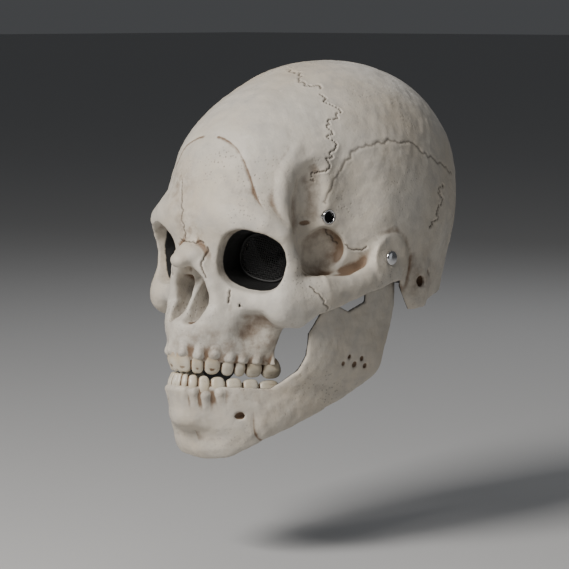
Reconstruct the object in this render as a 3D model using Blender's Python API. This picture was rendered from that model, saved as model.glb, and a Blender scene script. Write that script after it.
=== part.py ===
"""Skull mask: a hollow cranium and a hinged jaw, with eye screens, temple eyelets and jaw rivets.

Metres, +Z up, the face towards -Y and the wearer's left towards +X.
The origin is the inside of the crown, where the mask sits on the head.
"""
import math

import bmesh
import bpy
import numpy as np
from mathutils import Matrix, Vector
from mathutils.bvhtree import BVHTree

# Driving sizes
HALF_WIDTH = 0.0825
HALF_LENGTH = 0.1035
HALF_HEIGHT = 0.0875
WALL = 0.0030
CELL = WALL / 2
CRANIUM_TRIANGLES = 6000
JAW_TRIANGLES = 2500

# Mouth and hinge
BITE_GAP = 0.0012
EAR_RADIUS = 0.0085
JAW_CLEARANCE = 0.0010
HINGE_FACE = 0.0742

# Eye screens
SCREEN_DEPTH = 0.0170
SCREEN_THICK = 0.0012
SCREEN_CLEARANCE = 0.0008

# Fasteners
EYELET_BORE = 0.0066
EYELET_BARREL = 0.0076
EYELET_HEAD = 0.0100
EYELET_LIP = 0.0006
SEAT_DEPTH = 0.0006
RIVET_SHANK = 0.0046
RIVET_HEAD = 0.0100
RIVET_DOME = 0.0024
RIVET_CAP = 0.0080
RIVET_CAP_THICK = 0.0012
FIT_GAP = 0.0003

SIZE = np.array((HALF_WIDTH, HALF_LENGTH, HALF_HEIGHT))

# Places in the tables are shares of HALF_WIDTH across, HALF_LENGTH fore and aft and HALF_HEIGHT
# upwards, measured from the middle of the vault. A mass's three half sizes go the same way.
# Radii and blends are shares of HALF_WIDTH.

# Rounded masses: name, x, y, z, half width, half length, half height, squareness, blend
SKULL_MASSES = (
    ("vault", 0.00, 0.045, 0.00, 0.96, 0.965, 0.98, 2.1, 0.00),
    ("forehead", 0.00, -0.58, 0.02, 0.64, 0.55, 0.61, 2.2, 0.30),
    ("glabella", 0.00, -0.86, -0.24, 0.56, 0.30, 0.28, 2.2, 0.30),
    ("nape", 0.00, 0.15, -0.50, 0.82, 0.73, 1.10, 2.3, 0.25),
    ("face", 0.00, -0.72, -0.56, 0.72, 0.40, 0.62, 2.2, 0.15),
    ("side", 0.00, -0.32, -0.74, 0.885, 0.60, 0.22, 4.0, 0.06),
    ("cheek", 0.62, -0.87, -0.82, 0.19, 0.16, 0.17, 2.2, 0.10),
    ("snout", 0.00, -0.86, -0.98, 0.46, 0.38, 0.36, 2.2, 0.15),
    ("mastoid", 0.78, 0.22, -0.76, 0.12, 0.12, 0.24, 2.2, 0.10),
)

# Height of the inside of the crown over the middle of the vault
CROWN = SKULL_MASSES[0][6] * HALF_HEIGHT - WALL

# Bars along a line of points: name, height over width, blend, then rows of x, y, z, radius
SKULL_BARS = (
    ("brow", 1.2, 0.10, (
        (0.00, -1.10, -0.20, 0.10),
        (0.22, -1.10, -0.17, 0.11),
        (0.42, -1.06, -0.18, 0.11),
        (0.58, -1.00, -0.23, 0.10),
        (0.68, -0.93, -0.30, 0.085),
        (0.70, -0.87, -0.48, 0.075),
        (0.68, -0.88, -0.66, 0.09),
    )),
    ("under_eye", 1.0, 0.08, (
        (0.66, -0.89, -0.78, 0.10),
        (0.45, -0.99, -0.82, 0.085),
        (0.27, -1.06, -0.74, 0.08),
        (0.17, -1.10, -0.54, 0.09),
        (0.13, -1.10, -0.34, 0.09),
    )),
    ("arch", 2.0, 0.05, (
        (0.74, -0.82, -0.80, 0.10),
        (0.84, -0.66, -0.72, 0.080),
        (0.88, -0.44, -0.66, 0.072),
        (0.88, -0.18, -0.60, 0.075),
        (0.84, 0.02, -0.55, 0.090),
    )),
    ("nose_bridge", 0.8, 0.05, (
        (0.00, -1.10, -0.34, 0.100),
        (0.00, -1.20, -0.42, 0.100),
        (0.00, -1.29, -0.49, 0.085),
    )),
    ("nose_side", 1.0, 0.06, (
        (0.08, -1.21, -0.47, 0.07),
        (0.18, -1.17, -0.60, 0.06),
        (0.25, -1.14, -0.82, 0.06),
        (0.16, -1.20, -1.02, 0.06),
        (0.00, -1.26, -1.02, 0.05),
    )),
    ("temporal_line", 1.0, 0.06, (
        (0.66, -0.87, -0.24, 0.05),
        (0.61, -0.88, -0.05, 0.04),
        (0.59, -0.85, 0.14, 0.03),
        (0.60, -0.73, 0.33, 0.02),
    )),
)

# Hollows: name, x, y, z, half width, half length, half height, squareness, blend
SKULL_HOLLOWS = (
    ("temple", 1.03, -0.54, -0.14, 0.27, 0.28, 0.48, 2.0, 0.18),
    ("temple_front", 0.84, -0.74, -0.14, 0.22, 0.17, 0.43, 2.0, 0.04),
    ("behind_rim", 0.86, -0.62, -0.37, 0.23, 0.20, 0.20, 2.0, 0.04),
    ("nostril", 0.108, -1.22, -0.76, 0.092, 0.24, 0.24, 2.2, 0.02),
    ("nose_front", 0.00, -1.34, -0.76, 0.17, 0.17, 0.20, 2.2, 0.02),
    ("canine_hollow", 0.50, -1.04, -1.03, 0.12, 0.10, 0.11, 2.0, 0.14),
)

# Lower edge of the cranium in side view, front to back: y, z
SKULL_EDGE = (
    (-2.00, -1.17),
    (-1.36, -1.17),
    (-0.83, -1.26),
    (-0.80, -1.00),
    (-0.72, -0.90),
    (-0.52, -0.83),
    (-0.30, -0.76),
    (-0.10, -0.71),
    (0.02, -0.70),
    (0.08, -0.82),
    (0.15, -0.94),
    (0.36, -0.92),
    (0.52, -0.86),
    (2.00, -0.84),
    (2.00, -3.00),
    (-2.00, -3.00),
)

JAW_MASSES = (
    ("chin", 0.00, -0.94, -1.84, 0.34, 0.25, 0.22, 2.4, 0.00),
    ("middle", 0.00, -0.50, -1.50, 0.60, 0.66, 0.45, 2.4, 0.20),
    ("rami", 0.00, -0.34, -0.92, 0.82, 0.56, 0.66, 4.0, 0.15),
)
JAW_BARS = (
    ("lower_border", 1.4, 0.12, (
        (0.00, -1.06, -1.87, 0.10),
        (0.24, -1.02, -1.86, 0.10),
        (0.42, -0.90, -1.74, 0.10),
        (0.53, -0.68, -1.63, 0.10),
        (0.61, -0.38, -1.50, 0.09),
        (0.66, -0.14, -1.36, 0.09),
    )),
)

# Outline of the jaw in side view, from the front along the top: y, z
JAW_OUTLINE = (
    (-2.00, -1.50),
    (-1.36, -1.50),
    (-0.91, -1.48),
    (-0.86, -1.41),
    (-0.80, -1.30),
    (-0.75, -1.04),
    (-0.66, -0.90),
    (-0.60, -0.80),
    (-0.42, -0.90),
    (-0.26, -0.84),
    (-0.24, -0.60),
    (-0.20, -0.45),
    (-0.12, -0.41),
    (-0.04, -0.45),
    (0.04, -0.62),
    (0.13, -0.74),
    (0.05, -0.96),
    (-0.05, -1.20),
    (-0.09, -1.38),
    (-0.16, -1.46),
    (-0.38, -1.60),
    (-0.69, -1.74),
    (-0.90, -1.85),
    (-1.08, -1.99),
    (-1.25, -2.05),
    (-2.00, -2.05),
)

# The tooth rows follow a parabola in plan: its front, and how far back it runs at HALF_WIDTH
ARCH_FRONT = -1.345
ARCH_RUN = 2.33

# The biting edge in side view: y, z at the front and at the last tooth
BITE_FRONT = (-1.36, -1.325)
BITE_BACK = (-0.82, -1.405)

# Teeth from the middle outwards: outer end across, crown height
UPPER_TEETH = (
    (0.134, 0.172),
    (0.210, 0.160),
    (0.291, 0.175),
    (0.343, 0.150),
    (0.385, 0.140),
    (0.441, 0.140),
    (0.500, 0.130),
)
LOWER_TEETH = (
    (0.055, 0.135),
    (0.110, 0.135),
    (0.175, 0.140),
    (0.242, 0.165),
    (0.310, 0.140),
    (0.375, 0.130),
    (0.431, 0.125),
    (0.495, 0.120),
)
TOOTH_DEPTH = 0.055
TOOTH_SQUARE = 3.0
GUM_INSET = 0.012

# Eye openings: middle, half width and half height of the rim, and their turns
EYE = (0.43, -0.952, -0.495)
EYE_HALF_WIDTH = 0.275 * HALF_WIDTH
EYE_HALF_HEIGHT = 0.232 * HALF_HEIGHT
EYE_YAW = math.radians(24)
EYE_ROLL = math.radians(-12)
EYE_SQUARE = 2.5
EYE_TAPER = 0.14
EYE_WINDOW = 0.75

# Fastener places in side view: y, z
HINGE = (-0.12, -0.51)
TEMPLE = (-0.53, -0.18)

BONE = (0.62, 0.58, 0.50)
BLACK = (0.02, 0.02, 0.02)
STEEL = (0.75, 0.75, 0.76)


def smooth_union(a, b, blend):
    """Joins two fields with a fillet of about this blend."""
    if blend <= 0:
        return np.minimum(a, b)
    near = np.maximum(blend - np.abs(a - b), 0) / blend
    return np.minimum(a, b) - near * near * blend / 4


def smooth_common(a, b, blend):
    return -smooth_union(-a, -b, blend)


def smooth_cut(a, b, blend):
    return -smooth_union(-a, b, blend)


def rounded(points, centre, radii, square):
    """Distance to a rounded block: an ellipsoid at a squareness of 2, boxier above it."""
    parts = [np.abs(p - c) / r for p, c, r in zip(points, centre, radii)]
    near = sum(part**square for part in parts) ** (1 / square)
    slope = np.sqrt(sum((part ** (square - 1) / r) ** 2 for part, r in zip(parts, radii)))
    return (near - 1) * near ** (square - 1) / np.maximum(slope, 1e-6)


def bar(points, ends, tall):
    """Distance to a chain of tapering round bars; tall stretches their sections upwards."""
    best = np.inf
    for (a, radius_a), (b, radius_b) in zip(ends, ends[1:]):
        axis = b - a
        offsets = [p - c for p, c in zip(points, a)]
        share = np.clip(sum(o * d for o, d in zip(offsets, axis)) / axis.dot(axis), 0, 1)
        away = [o - share * d for o, d in zip(offsets, axis)]
        away[2] = away[2] / tall
        radius = radius_a + (radius_b - radius_a) * share
        best = np.minimum(best, np.sqrt(sum(o * o for o in away)) - radius)
    return best


def outline_distance(y, z, corners):
    """Distance to a closed outline in side view, negative inside it."""
    points = np.stack(np.meshgrid(y, z, indexing="ij"))
    best = np.full(points.shape[1:], np.inf)
    inside = np.zeros(points.shape[1:], dtype=bool)
    for a, b in zip(corners, np.roll(corners, -1, axis=0)):
        edge = (b - a)[:, None, None]
        offset = points - a[:, None, None]
        share = np.clip((offset * edge).sum(0) / (edge * edge).sum(), 0, 1)
        best = np.minimum(best, np.hypot(*(offset - share * edge)))
        if a[1] != b[1]:
            crosses = (a[1] > points[1]) != (b[1] > points[1])
            reach = a[0] + offset[1] / (b[1] - a[1]) * (b[0] - a[0])
            inside ^= crosses & (points[0] < reach)
    return np.where(inside, -best, best)


def arch_plan(x):
    """Fore-and-aft place and slope of the tooth row at x."""
    run = ARCH_RUN * HALF_LENGTH / HALF_WIDTH**2
    return ARCH_FRONT * HALF_LENGTH + run * x * x, 2 * run * x


def bite_height(y):
    share = (y / HALF_LENGTH - BITE_FRONT[0]) / (BITE_BACK[0] - BITE_FRONT[0])
    return (BITE_FRONT[1] + share * (BITE_BACK[1] - BITE_FRONT[1])) * HALF_HEIGHT


def eye_place(points):
    """Nearness to an eye's axis, 1 at the rim, and the depth behind the rim."""
    x, y, z = (p - c for p, c in zip(points, np.array(EYE) * SIZE))
    across = x * math.cos(EYE_YAW) + y * math.sin(EYE_YAW)
    depth = y * math.cos(EYE_YAW) - x * math.sin(EYE_YAW)
    side = across * math.cos(EYE_ROLL) + z * math.sin(EYE_ROLL)
    up = z * math.cos(EYE_ROLL) - across * math.sin(EYE_ROLL)
    parts = (np.abs(side) / EYE_HALF_WIDTH, np.abs(up) / EYE_HALF_HEIGHT)
    return sum(part**EYE_SQUARE for part in parts) ** (1 / EYE_SQUARE), depth


class Form:
    """A form as distances on a grid of points over the +X half, negative inside."""

    def __init__(self, low, high):
        low, high = np.array(low) * SIZE, np.array(high) * SIZE
        starts = (CELL / 2, low[1], low[2])
        self.axes = [np.arange(a, b + CELL, CELL) for a, b in zip(starts, high)]
        self.value = np.full([len(axis) for axis in self.axes], HALF_WIDTH)

    def block(self, low, high):
        """The part of the grid between two corners, and its points."""
        parts = tuple(
            slice(*np.searchsorted(axis, (a, b))) for axis, a, b in zip(self.axes, low, high)
        )
        spans = (axis[part] for axis, part in zip(self.axes, parts))
        return parts, np.meshgrid(*spans, indexing="ij", sparse=True)

    def mass(self, row, join=smooth_union):
        name, x, y, z, width, length, height, square, blend = row
        centre = np.array((x, y, z)) * SIZE
        radii = np.array((width, length, height)) * SIZE
        reach = radii + blend * HALF_WIDTH + 3 * WALL
        parts, points = self.block(centre - reach, centre + reach)
        found = rounded(points, centre, radii, square)
        if 0 < x < width:
            found = np.minimum(found, rounded(points, centre * (-1, 1, 1), radii, square))
        self.value[parts] = join(self.value[parts], found, blend * HALF_WIDTH)

    def bars(self, row):
        name, tall, blend, ends = row
        ends = [(np.array(end[:3]) * SIZE, end[3] * HALF_WIDTH) for end in ends]
        reach = max(r for _, r in ends) * max(tall, 1) + blend * HALF_WIDTH + 3 * WALL
        centres = np.array([c for c, _ in ends])
        parts, points = self.block(centres.min(0) - reach, centres.max(0) + reach)
        self.value[parts] = smooth_union(
            self.value[parts], bar(points, ends, tall), blend * HALF_WIDTH
        )

    def gum(self, low, high):
        """Fills the tooth row's arch between two heights."""
        low, high = low * HALF_HEIGHT, high * HALF_HEIGHT
        rounding = 0.12 * HALF_WIDTH
        parts, (x, y, z) = self.block(
            (0, 1.6 * ARCH_FRONT * HALF_LENGTH, low - rounding),
            (0.62 * HALF_WIDTH, -0.7 * HALF_LENGTH, high + rounding),
        )
        front, slope = arch_plan(x)
        ahead = (front + GUM_INSET * HALF_WIDTH - y) / np.sqrt(1 + slope * slope)
        found = smooth_common(ahead, np.abs(z - (low + high) / 2) - (high - low) / 2, rounding)
        self.value[parts] = smooth_union(self.value[parts], found, rounding)

    def hollow_out(self):
        """Leaves a wall under the surface, even where two forms meet."""
        steep = np.sqrt(sum(part**2 for part in np.gradient(self.value, CELL)))
        inner = self.value / np.clip(steep, 0.4, 2.0) + WALL
        padded = np.pad(self.value, 2, mode="edge")
        steps = range(-2, 3)
        for i, j, k in ((i, j, k) for i in steps for j in steps for k in steps):
            if 0 < i * i + j * j + k * k <= 4:
                window = tuple(slice(2 + s, 2 + s + n) for s, n in zip((i, j, k), self.value.shape))
                inner = np.maximum(inner, padded[window])
        self.value = np.maximum(self.value, -inner)

    def teeth(self, table, upper):
        depth = TOOTH_DEPTH * HALF_WIDTH
        start = 0.0
        for end, crown in table:
            x = (start + end) / 2 * HALF_WIDTH
            y, slope = arch_plan(x)
            turn = math.atan(slope)
            half = (end - start) / 2 * HALF_WIDTH / math.cos(turn)
            tall = crown * HALF_HEIGHT * 0.62
            edge = bite_height(y)
            z = edge + tall if upper else edge - BITE_GAP - tall
            centre = np.array((x - math.sin(turn) * depth / 2, y + math.cos(turn) * depth / 2, z))
            reach = np.array((half + depth, half + depth, tall)) + 2 * WALL
            parts, (px, py, pz) = self.block(centre - reach, centre + reach)
            px, py, pz = px - centre[0], py - centre[1], pz - z
            points = (
                px * math.cos(turn) + py * math.sin(turn),
                py * math.cos(turn) - px * math.sin(turn),
                pz,
            )
            found = rounded(points, (0, 0, 0), (half, depth, tall), TOOTH_SQUARE)
            self.value[parts] = smooth_union(self.value[parts], found, 0.01 * HALF_WIDTH)
            start = end

    def disc(self, low, high, radius, join, blend):
        """Joins or cuts a disc round the hinge line, between two places across."""
        y, z = np.array(HINGE) * SIZE[1:]
        spare = blend + 2 * WALL
        reach = radius + spare
        parts, points = self.block(
            (low - spare, y - reach, z - reach), (high + spare, y + reach, z + reach)
        )
        around = np.hypot(points[1] - y, points[2] - z) - radius
        across = np.abs(points[0] - (low + high) / 2) - (high - low) / 2
        self.value[parts] = join(self.value[parts], np.maximum(around, across), blend)


def shape_cranium():
    form = Form((0, -1.62, -1.55), (1.06, 1.08, 1.05))
    for row in SKULL_MASSES:
        form.mass(row)
    for row in SKULL_BARS:
        form.bars(row)
    form.gum(-1.44, -0.92)
    for row in SKULL_HOLLOWS:
        form.mass(row, smooth_cut)
    reach = np.array((2 * EYE_HALF_WIDTH, 2 * EYE_HALF_WIDTH, 2 * EYE_HALF_HEIGHT))
    middle = np.array(EYE) * SIZE
    parts, points = form.block(middle - reach, middle + reach)
    near, depth = eye_place(points)
    narrow = 1 - EYE_TAPER * np.clip(depth / SCREEN_DEPTH, -0.6, 1.0)
    funnel = np.maximum((near - narrow) * EYE_HALF_HEIGHT, depth - SCREEN_DEPTH)
    form.value[parts] = smooth_cut(form.value[parts], funnel, 0.015 * HALF_WIDTH)
    boss = EAR_RADIUS + JAW_CLEARANCE + WALL
    top = HINGE_FACE + SEAT_DEPTH
    form.disc(HINGE_FACE - 6 * WALL, top, boss, smooth_union, 0.10 * HALF_WIDTH)
    form.hollow_out()
    window = np.maximum((near - EYE_WINDOW) * EYE_HALF_HEIGHT, np.abs(depth - SCREEN_DEPTH) - 3 * WALL)
    form.value[parts] = smooth_cut(form.value[parts], window, WALL / 4)
    edge = outline_distance(*form.axes[1:], np.array(SKULL_EDGE) * SIZE[1:])
    form.value = smooth_cut(form.value, edge[None], 0.02 * HALF_WIDTH)
    form.disc(HINGE_FACE - 3 * WALL, HINGE_FACE - WALL, EAR_RADIUS + JAW_CLEARANCE, smooth_cut, 0)
    form.teeth(UPPER_TEETH, True)
    return form


def shape_jaw():
    form = Form((0, -1.62, -2.15), (0.95, 0.30, -0.30))
    for row in JAW_MASSES:
        form.mass(row)
    for row in JAW_BARS:
        form.bars(row)
    form.gum(-1.76, -1.36)
    form.hollow_out()
    outline = outline_distance(*form.axes[1:], np.array(JAW_OUTLINE) * SIZE[1:])
    form.value = smooth_common(form.value, outline[None], 0.02 * HALF_WIDTH)
    ear = HINGE_FACE - WALL - JAW_CLEARANCE
    form.disc(ear - WALL, ear, EAR_RADIUS, smooth_union, WALL / 4)
    form.teeth(LOWER_TEETH, False)
    return form


def corner_views(value):
    """The grid seen from each of a cell's eight corners."""
    ends = (slice(None, -1), slice(1, None))
    return [value[i, j, k] for i in ends for j in ends for k in ends]


def mixed_patterns():
    """For each way of marking a cell's corners, whether its surface would meet itself there."""
    corners = range(8)
    faces = [
        [c for c in corners if (c >> axis & 1) == side] for axis in range(3) for side in (0, 1)
    ]
    mixed = np.zeros(256, dtype=bool)
    for pattern in range(1, 255):
        marks = [pattern >> c & 1 for c in corners]
        for mark in (0, 1):
            held = {marks.index(mark)}
            for _ in corners:
                held |= {c ^ 1 << n for c in held for n in range(3) if marks[c ^ 1 << n] == mark}
            mixed[pattern] |= len(held) < marks.count(mark)
        for a, b, c, d in faces:
            mixed[pattern] |= marks[a] == marks[d] != marks[b] == marks[c]
    return mixed


def fill_pinches(value):
    """Fills the nearest outside corner of each cell where the surface would meet itself."""
    mixed = mixed_patterns()
    tiny = CELL / 50
    value[np.abs(value) < tiny] = tiny
    for _ in range(40):
        pattern = sum((c < 0).astype(np.uint8) << n for n, c in enumerate(corner_views(value)))
        cells = np.argwhere(mixed[pattern])
        if not len(cells):
            break
        steps = np.array([(n >> 2 & 1, n >> 1 & 1, n & 1) for n in range(8)])
        points = cells[:, None] + steps
        held = value[tuple(points.transpose(2, 0, 1))]
        chosen = np.where(held > 0, held, np.inf).argmin(axis=1)
        value[tuple(points[np.arange(len(cells)), chosen].T)] = -tiny
    return value


def surface(axes, value):
    """Closed quad mesh of the zero level, with one vertex in each cell that it crosses."""
    views = corner_views(value)
    count = sum((view < 0).astype(np.int8) for view in views)
    active = (count > 0) & (count < 8)
    number = np.full(active.shape, -1)
    number[active] = np.arange(active.sum())
    cells = np.argwhere(active)
    held = np.stack([view[active] for view in views], axis=1)
    steps = np.array([(n >> 2 & 1, n >> 1 & 1, n & 1) for n in range(8)])
    total = np.zeros((len(cells), 3))
    crossings = np.zeros((len(cells), 1))
    for a, b in ((a, a | bit) for bit in (1, 2, 4) for a in range(8) if not a & bit):
        crossed = (held[:, a] < 0) != (held[:, b] < 0)
        share = held[crossed, a] / (held[crossed, a] - held[crossed, b])
        total[crossed] += steps[a] + share[:, None] * (steps[b] - steps[a])
        crossings[crossed] += 1
    places = cells + total / crossings
    points = [np.interp(places[:, n], np.arange(len(axis)), axis) for n, axis in enumerate(axes)]
    inside = value < 0
    faces = []
    for n, p, q in ((0, 1, 2), (1, 2, 0), (2, 0, 1)):
        leaves = inside & ~np.roll(inside, -1, axis=n)
        enters = ~inside & np.roll(inside, -1, axis=n)
        for crossed, order in ((leaves, 1), (enters, -1)):
            at = np.argwhere(crossed)
            ring = []
            for step_p, step_q in ((-1, -1), (0, -1), (0, 0), (-1, 0)):
                cell = at.copy()
                cell[:, p] += step_p
                cell[:, q] += step_q
                ring.append(number[tuple(cell.T)])
            faces.append(np.stack(ring, axis=1)[:, ::order])
    return np.stack(points, axis=1), np.concatenate(faces)


def main_island(points, faces):
    """The largest connected body alone, so that no sealed pocket is left inside a thick place."""
    label = np.arange(len(points))
    while True:
        lower = label.copy()
        np.minimum.at(lower, faces.ravel(), np.repeat(label[faces].min(axis=1), 4))
        lower = lower[lower]
        if (lower == label).all():
            break
        label = lower
    owner = label[faces[:, 0]]
    bodies, sizes = np.unique(owner, return_counts=True)
    kept, order = np.unique(faces[owner == bodies[sizes.argmax()]], return_inverse=True)
    return points[kept], order.reshape(-1, 4)


def make_material(name, colour, roughness, metallic):
    material = bpy.data.materials.new(name)
    material.use_nodes = True
    shader = material.node_tree.nodes["Principled BSDF"]
    shader.inputs["Base Color"].default_value = (*colour, 1)
    shader.inputs["Roughness"].default_value = roughness
    shader.inputs["Metallic"].default_value = metallic
    return material


def add_object(name, mesh, material):
    thing = bpy.data.objects.new(name, mesh)
    mesh.materials.append(material)
    bpy.context.scene.collection.objects.link(thing)
    return thing


def add_form(name, form, material, triangles):
    """An object from a form and its mirror image, thinned to about this many triangles."""
    x, y, z = form.axes
    half = fill_pinches(form.value)
    axes = (np.concatenate((-x[::-1], x)), y, z)
    verts, faces = main_island(*surface(axes, np.concatenate((half[::-1], half))))
    mesh = bpy.data.meshes.new(name)
    mesh.from_pydata((verts - (0, 0, CROWN)).tolist(), [], faces.tolist())
    mesh.shade_smooth()
    thing = add_object(name, mesh, material)
    thin = thing.modifiers.new("thin", "DECIMATE")
    thin.ratio = triangles / (2 * len(faces))
    thin.use_symmetry = True
    thin.symmetry_axis = "X"
    return thing


def turned(name, profile, sides=20):
    """Mesh turned round +Z from rows of radius and height, from the axis back to the axis."""
    shape = bmesh.new()
    rings = []
    for radius, height in profile:
        if radius == 0:
            rings.append([shape.verts.new((0, 0, height))])
            continue
        turns = (2 * math.pi * n / sides for n in range(sides))
        rings.append([shape.verts.new((radius * math.cos(t), radius * math.sin(t), height)) for t in turns])
    closed = len(rings[0]) > 1
    for a, b in zip(rings, rings[1:] + rings[:1] * closed):
        for n in range(sides):
            corners = [a[n % len(a)], a[(n + 1) % len(a)], b[(n + 1) % len(b)], b[n % len(b)]]
            shape.faces.new(list(dict.fromkeys(corners)))
    bmesh.ops.recalc_face_normals(shape, faces=shape.faces)
    mesh = bpy.data.meshes.new(name)
    shape.to_mesh(mesh)
    shape.free()
    mesh.shade_smooth()
    mesh.set_sharp_from_angle(angle=math.radians(35))
    return mesh


def add_turned(name, profile, frame, material):
    thing = add_object(name, turned(name, profile), material)
    thing.matrix_world = frame
    return thing


def cut(body, name, profile, frame):
    cutter = bpy.data.objects.new(name, turned(name, profile))
    bpy.context.scene.collection.objects.link(cutter)
    cutter.matrix_world = frame
    cutter.hide_render = True
    cutter.display_type = "WIRE"
    step = body.modifiers.new(name, "BOOLEAN")
    step.operation = "DIFFERENCE"
    step.solver = "EXACT"
    step.object = cutter


def stepped(bore, wide, low, high, reach):
    """Profile of a hole with a wider seat outside each of two faces."""
    return (
        (0, low - reach), (wide, low - reach), (wide, low), (bore, low),
        (bore, high), (wide, high), (wide, high + reach), (0, high + reach),
    )


def facing(point, normal):
    return Matrix.Translation(point) @ Vector(normal).to_track_quat("Z", "Y").to_matrix().to_4x4()


def add_eyelet(cranium, side, name, tree, material):
    """A flanged tube through the wall at the temple, seated in a shallow recess on each face."""
    y, z = TEMPLE[0] * HALF_LENGTH, TEMPLE[1] * HALF_HEIGHT - CROWN
    across = Vector((side, 0, 0))
    outer, normal, _, _ = tree.ray_cast(Vector((0, y, z)) + across, -across)
    inner, _, _, _ = tree.ray_cast(outer - normal * WALL / 4, -normal)
    thick = (outer - inner).length
    low, high = SEAT_DEPTH - thick, -SEAT_DEPTH
    frame = facing(outer, normal)
    head, barrel, bore = EYELET_HEAD / 2, EYELET_BARREL / 2, EYELET_BORE / 2
    cut(cranium, name + "_hole", stepped(barrel + FIT_GAP, head + FIT_GAP, low, high, WALL), frame)
    seat_high, seat_low = high + FIT_GAP, low - FIT_GAP
    profile = (
        (bore, seat_low), (bore + EYELET_LIP, seat_low - EYELET_LIP), (head, seat_low - EYELET_LIP),
        (head, seat_low), (barrel, seat_low), (barrel, seat_high), (head, seat_high),
        (head - EYELET_LIP / 2, seat_high + EYELET_LIP), (bore + EYELET_LIP, seat_high + EYELET_LIP),
        (bore, seat_high),
    )
    return add_turned(name, profile, frame, material)


def add_rivet(cranium, jaw, side, name, material):
    """A domed rivet on the hinge line through the cranium's wall and the jaw's ear."""
    place = Vector((side * HINGE_FACE, HINGE[0] * HALF_LENGTH, HINGE[1] * HALF_HEIGHT - CROWN))
    frame = facing(place, (side, 0, 0))
    head, shank, cap = RIVET_HEAD / 2, RIVET_SHANK / 2, RIVET_CAP / 2
    bore = shank + FIT_GAP
    ear_high = -WALL - JAW_CLEARANCE
    ear_low = ear_high - WALL
    seat = head + 2 * FIT_GAP
    hole = ((0, ear_high), (bore, ear_high), (bore, 0), (seat, 0), (seat, WALL), (0, WALL))
    cut(cranium, name + "_hole", hole, frame)
    seat = cap + 2 * FIT_GAP
    deep = ear_low - 2 * WALL
    hole = ((0, deep), (seat, deep), (seat, ear_low), (bore, ear_low), (bore, 0), (0, 0))
    cut(jaw, name + "_ear_hole", hole, frame)
    dome = [
        (head * math.cos(t), FIT_GAP + RIVET_DOME * math.sin(t))
        for t in (math.pi / 2 * n / 5 for n in range(5))
    ]
    back = ear_low - FIT_GAP
    profile = [
        (0, back - RIVET_CAP_THICK), (cap, back - RIVET_CAP_THICK), (cap, back),
        (shank, back), (shank, FIT_GAP), *dome, (0, FIT_GAP + RIVET_DOME),
    ]
    return add_turned(name, profile, frame, material)


def add_screen(side, name, material):
    """A thin oval plate on the ledge at the back of an eye opening."""
    scale = 1 - EYE_TAPER - SCREEN_CLEARANCE / EYE_HALF_HEIGHT
    shape = bmesh.new()
    ring = []
    for n in range(40):
        turn = 2 * math.pi * n / 40
        side_share = math.copysign(abs(math.cos(turn)) ** (2 / EYE_SQUARE), math.cos(turn))
        up_share = math.copysign(abs(math.sin(turn)) ** (2 / EYE_SQUARE), math.sin(turn))
        ring.append(shape.verts.new((side_share * EYE_HALF_WIDTH * scale, 0, up_share * EYE_HALF_HEIGHT * scale)))
    face = shape.faces.new(ring)
    grown = bmesh.ops.extrude_face_region(shape, geom=[face])
    moved = [v for v in grown["geom"] if isinstance(v, bmesh.types.BMVert)]
    bmesh.ops.translate(shape, verts=moved, vec=(0, -SCREEN_THICK, 0))
    x, y, z = np.array(EYE) * SIZE
    place = Matrix.Translation((side * x, y, z - CROWN))
    turns = Matrix.Rotation(side * EYE_YAW, 4, "Z") @ Matrix.Rotation(-side * EYE_ROLL, 4, "Y")
    back = Matrix.Translation((0, SCREEN_DEPTH - 2 * FIT_GAP, 0))
    shape.transform(place @ turns @ back)
    bmesh.ops.recalc_face_normals(shape, faces=shape.faces)
    mesh = bpy.data.meshes.new(name)
    shape.to_mesh(mesh)
    shape.free()
    return add_object(name, mesh, material)


def main():
    for thing in list(bpy.data.objects):
        bpy.data.objects.remove(thing)
    cranium = add_form(
        "cranium", shape_cranium(), make_material("cranium_bone", BONE, 0.6, 0), CRANIUM_TRIANGLES
    )
    jaw = add_form("jaw", shape_jaw(), make_material("jaw_bone", BONE, 0.6, 0), JAW_TRIANGLES)
    whole = bmesh.new()
    whole.from_mesh(cranium.data)
    tree = BVHTree.FromBMesh(whole)
    whole.free()
    for side, word in ((1, "left"), (-1, "right")):
        steel = make_material("eyelet_steel_" + word, STEEL, 0.2, 1)
        add_eyelet(cranium, side, "temple_eyelet_" + word, tree, steel)
        steel = make_material("rivet_steel_" + word, STEEL, 0.15, 1)
        add_rivet(cranium, jaw, side, "jaw_rivet_" + word, steel)
        black = make_material("screen_black_" + word, BLACK, 0.7, 0)
        add_screen(side, "eye_screen_" + word, black)


main()
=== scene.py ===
"""Finished look of the skull mask: cast bone skins, teeth, mesh eye screens and metal fittings."""
import math

import bmesh
import bpy
import numpy as np
from mathutils import Matrix, Vector, kdtree
from mathutils.bvhtree import BVHTree


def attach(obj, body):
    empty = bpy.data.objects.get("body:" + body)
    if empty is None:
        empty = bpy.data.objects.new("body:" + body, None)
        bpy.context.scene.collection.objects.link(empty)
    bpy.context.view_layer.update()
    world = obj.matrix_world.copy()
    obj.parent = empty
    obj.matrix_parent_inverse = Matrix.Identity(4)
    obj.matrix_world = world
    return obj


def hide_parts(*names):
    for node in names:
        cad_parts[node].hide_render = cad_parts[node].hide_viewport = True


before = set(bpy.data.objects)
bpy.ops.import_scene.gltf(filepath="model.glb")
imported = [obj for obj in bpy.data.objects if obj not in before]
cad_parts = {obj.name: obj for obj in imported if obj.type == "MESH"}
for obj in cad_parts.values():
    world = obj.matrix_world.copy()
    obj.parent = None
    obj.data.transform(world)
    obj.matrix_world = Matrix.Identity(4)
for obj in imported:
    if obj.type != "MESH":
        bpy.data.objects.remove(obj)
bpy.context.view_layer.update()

# Driving sizes
HALF_WIDTH = 0.0825
HALF_LENGTH = 0.1035
HALF_HEIGHT = 0.0875
WALL = 0.0030

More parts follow.
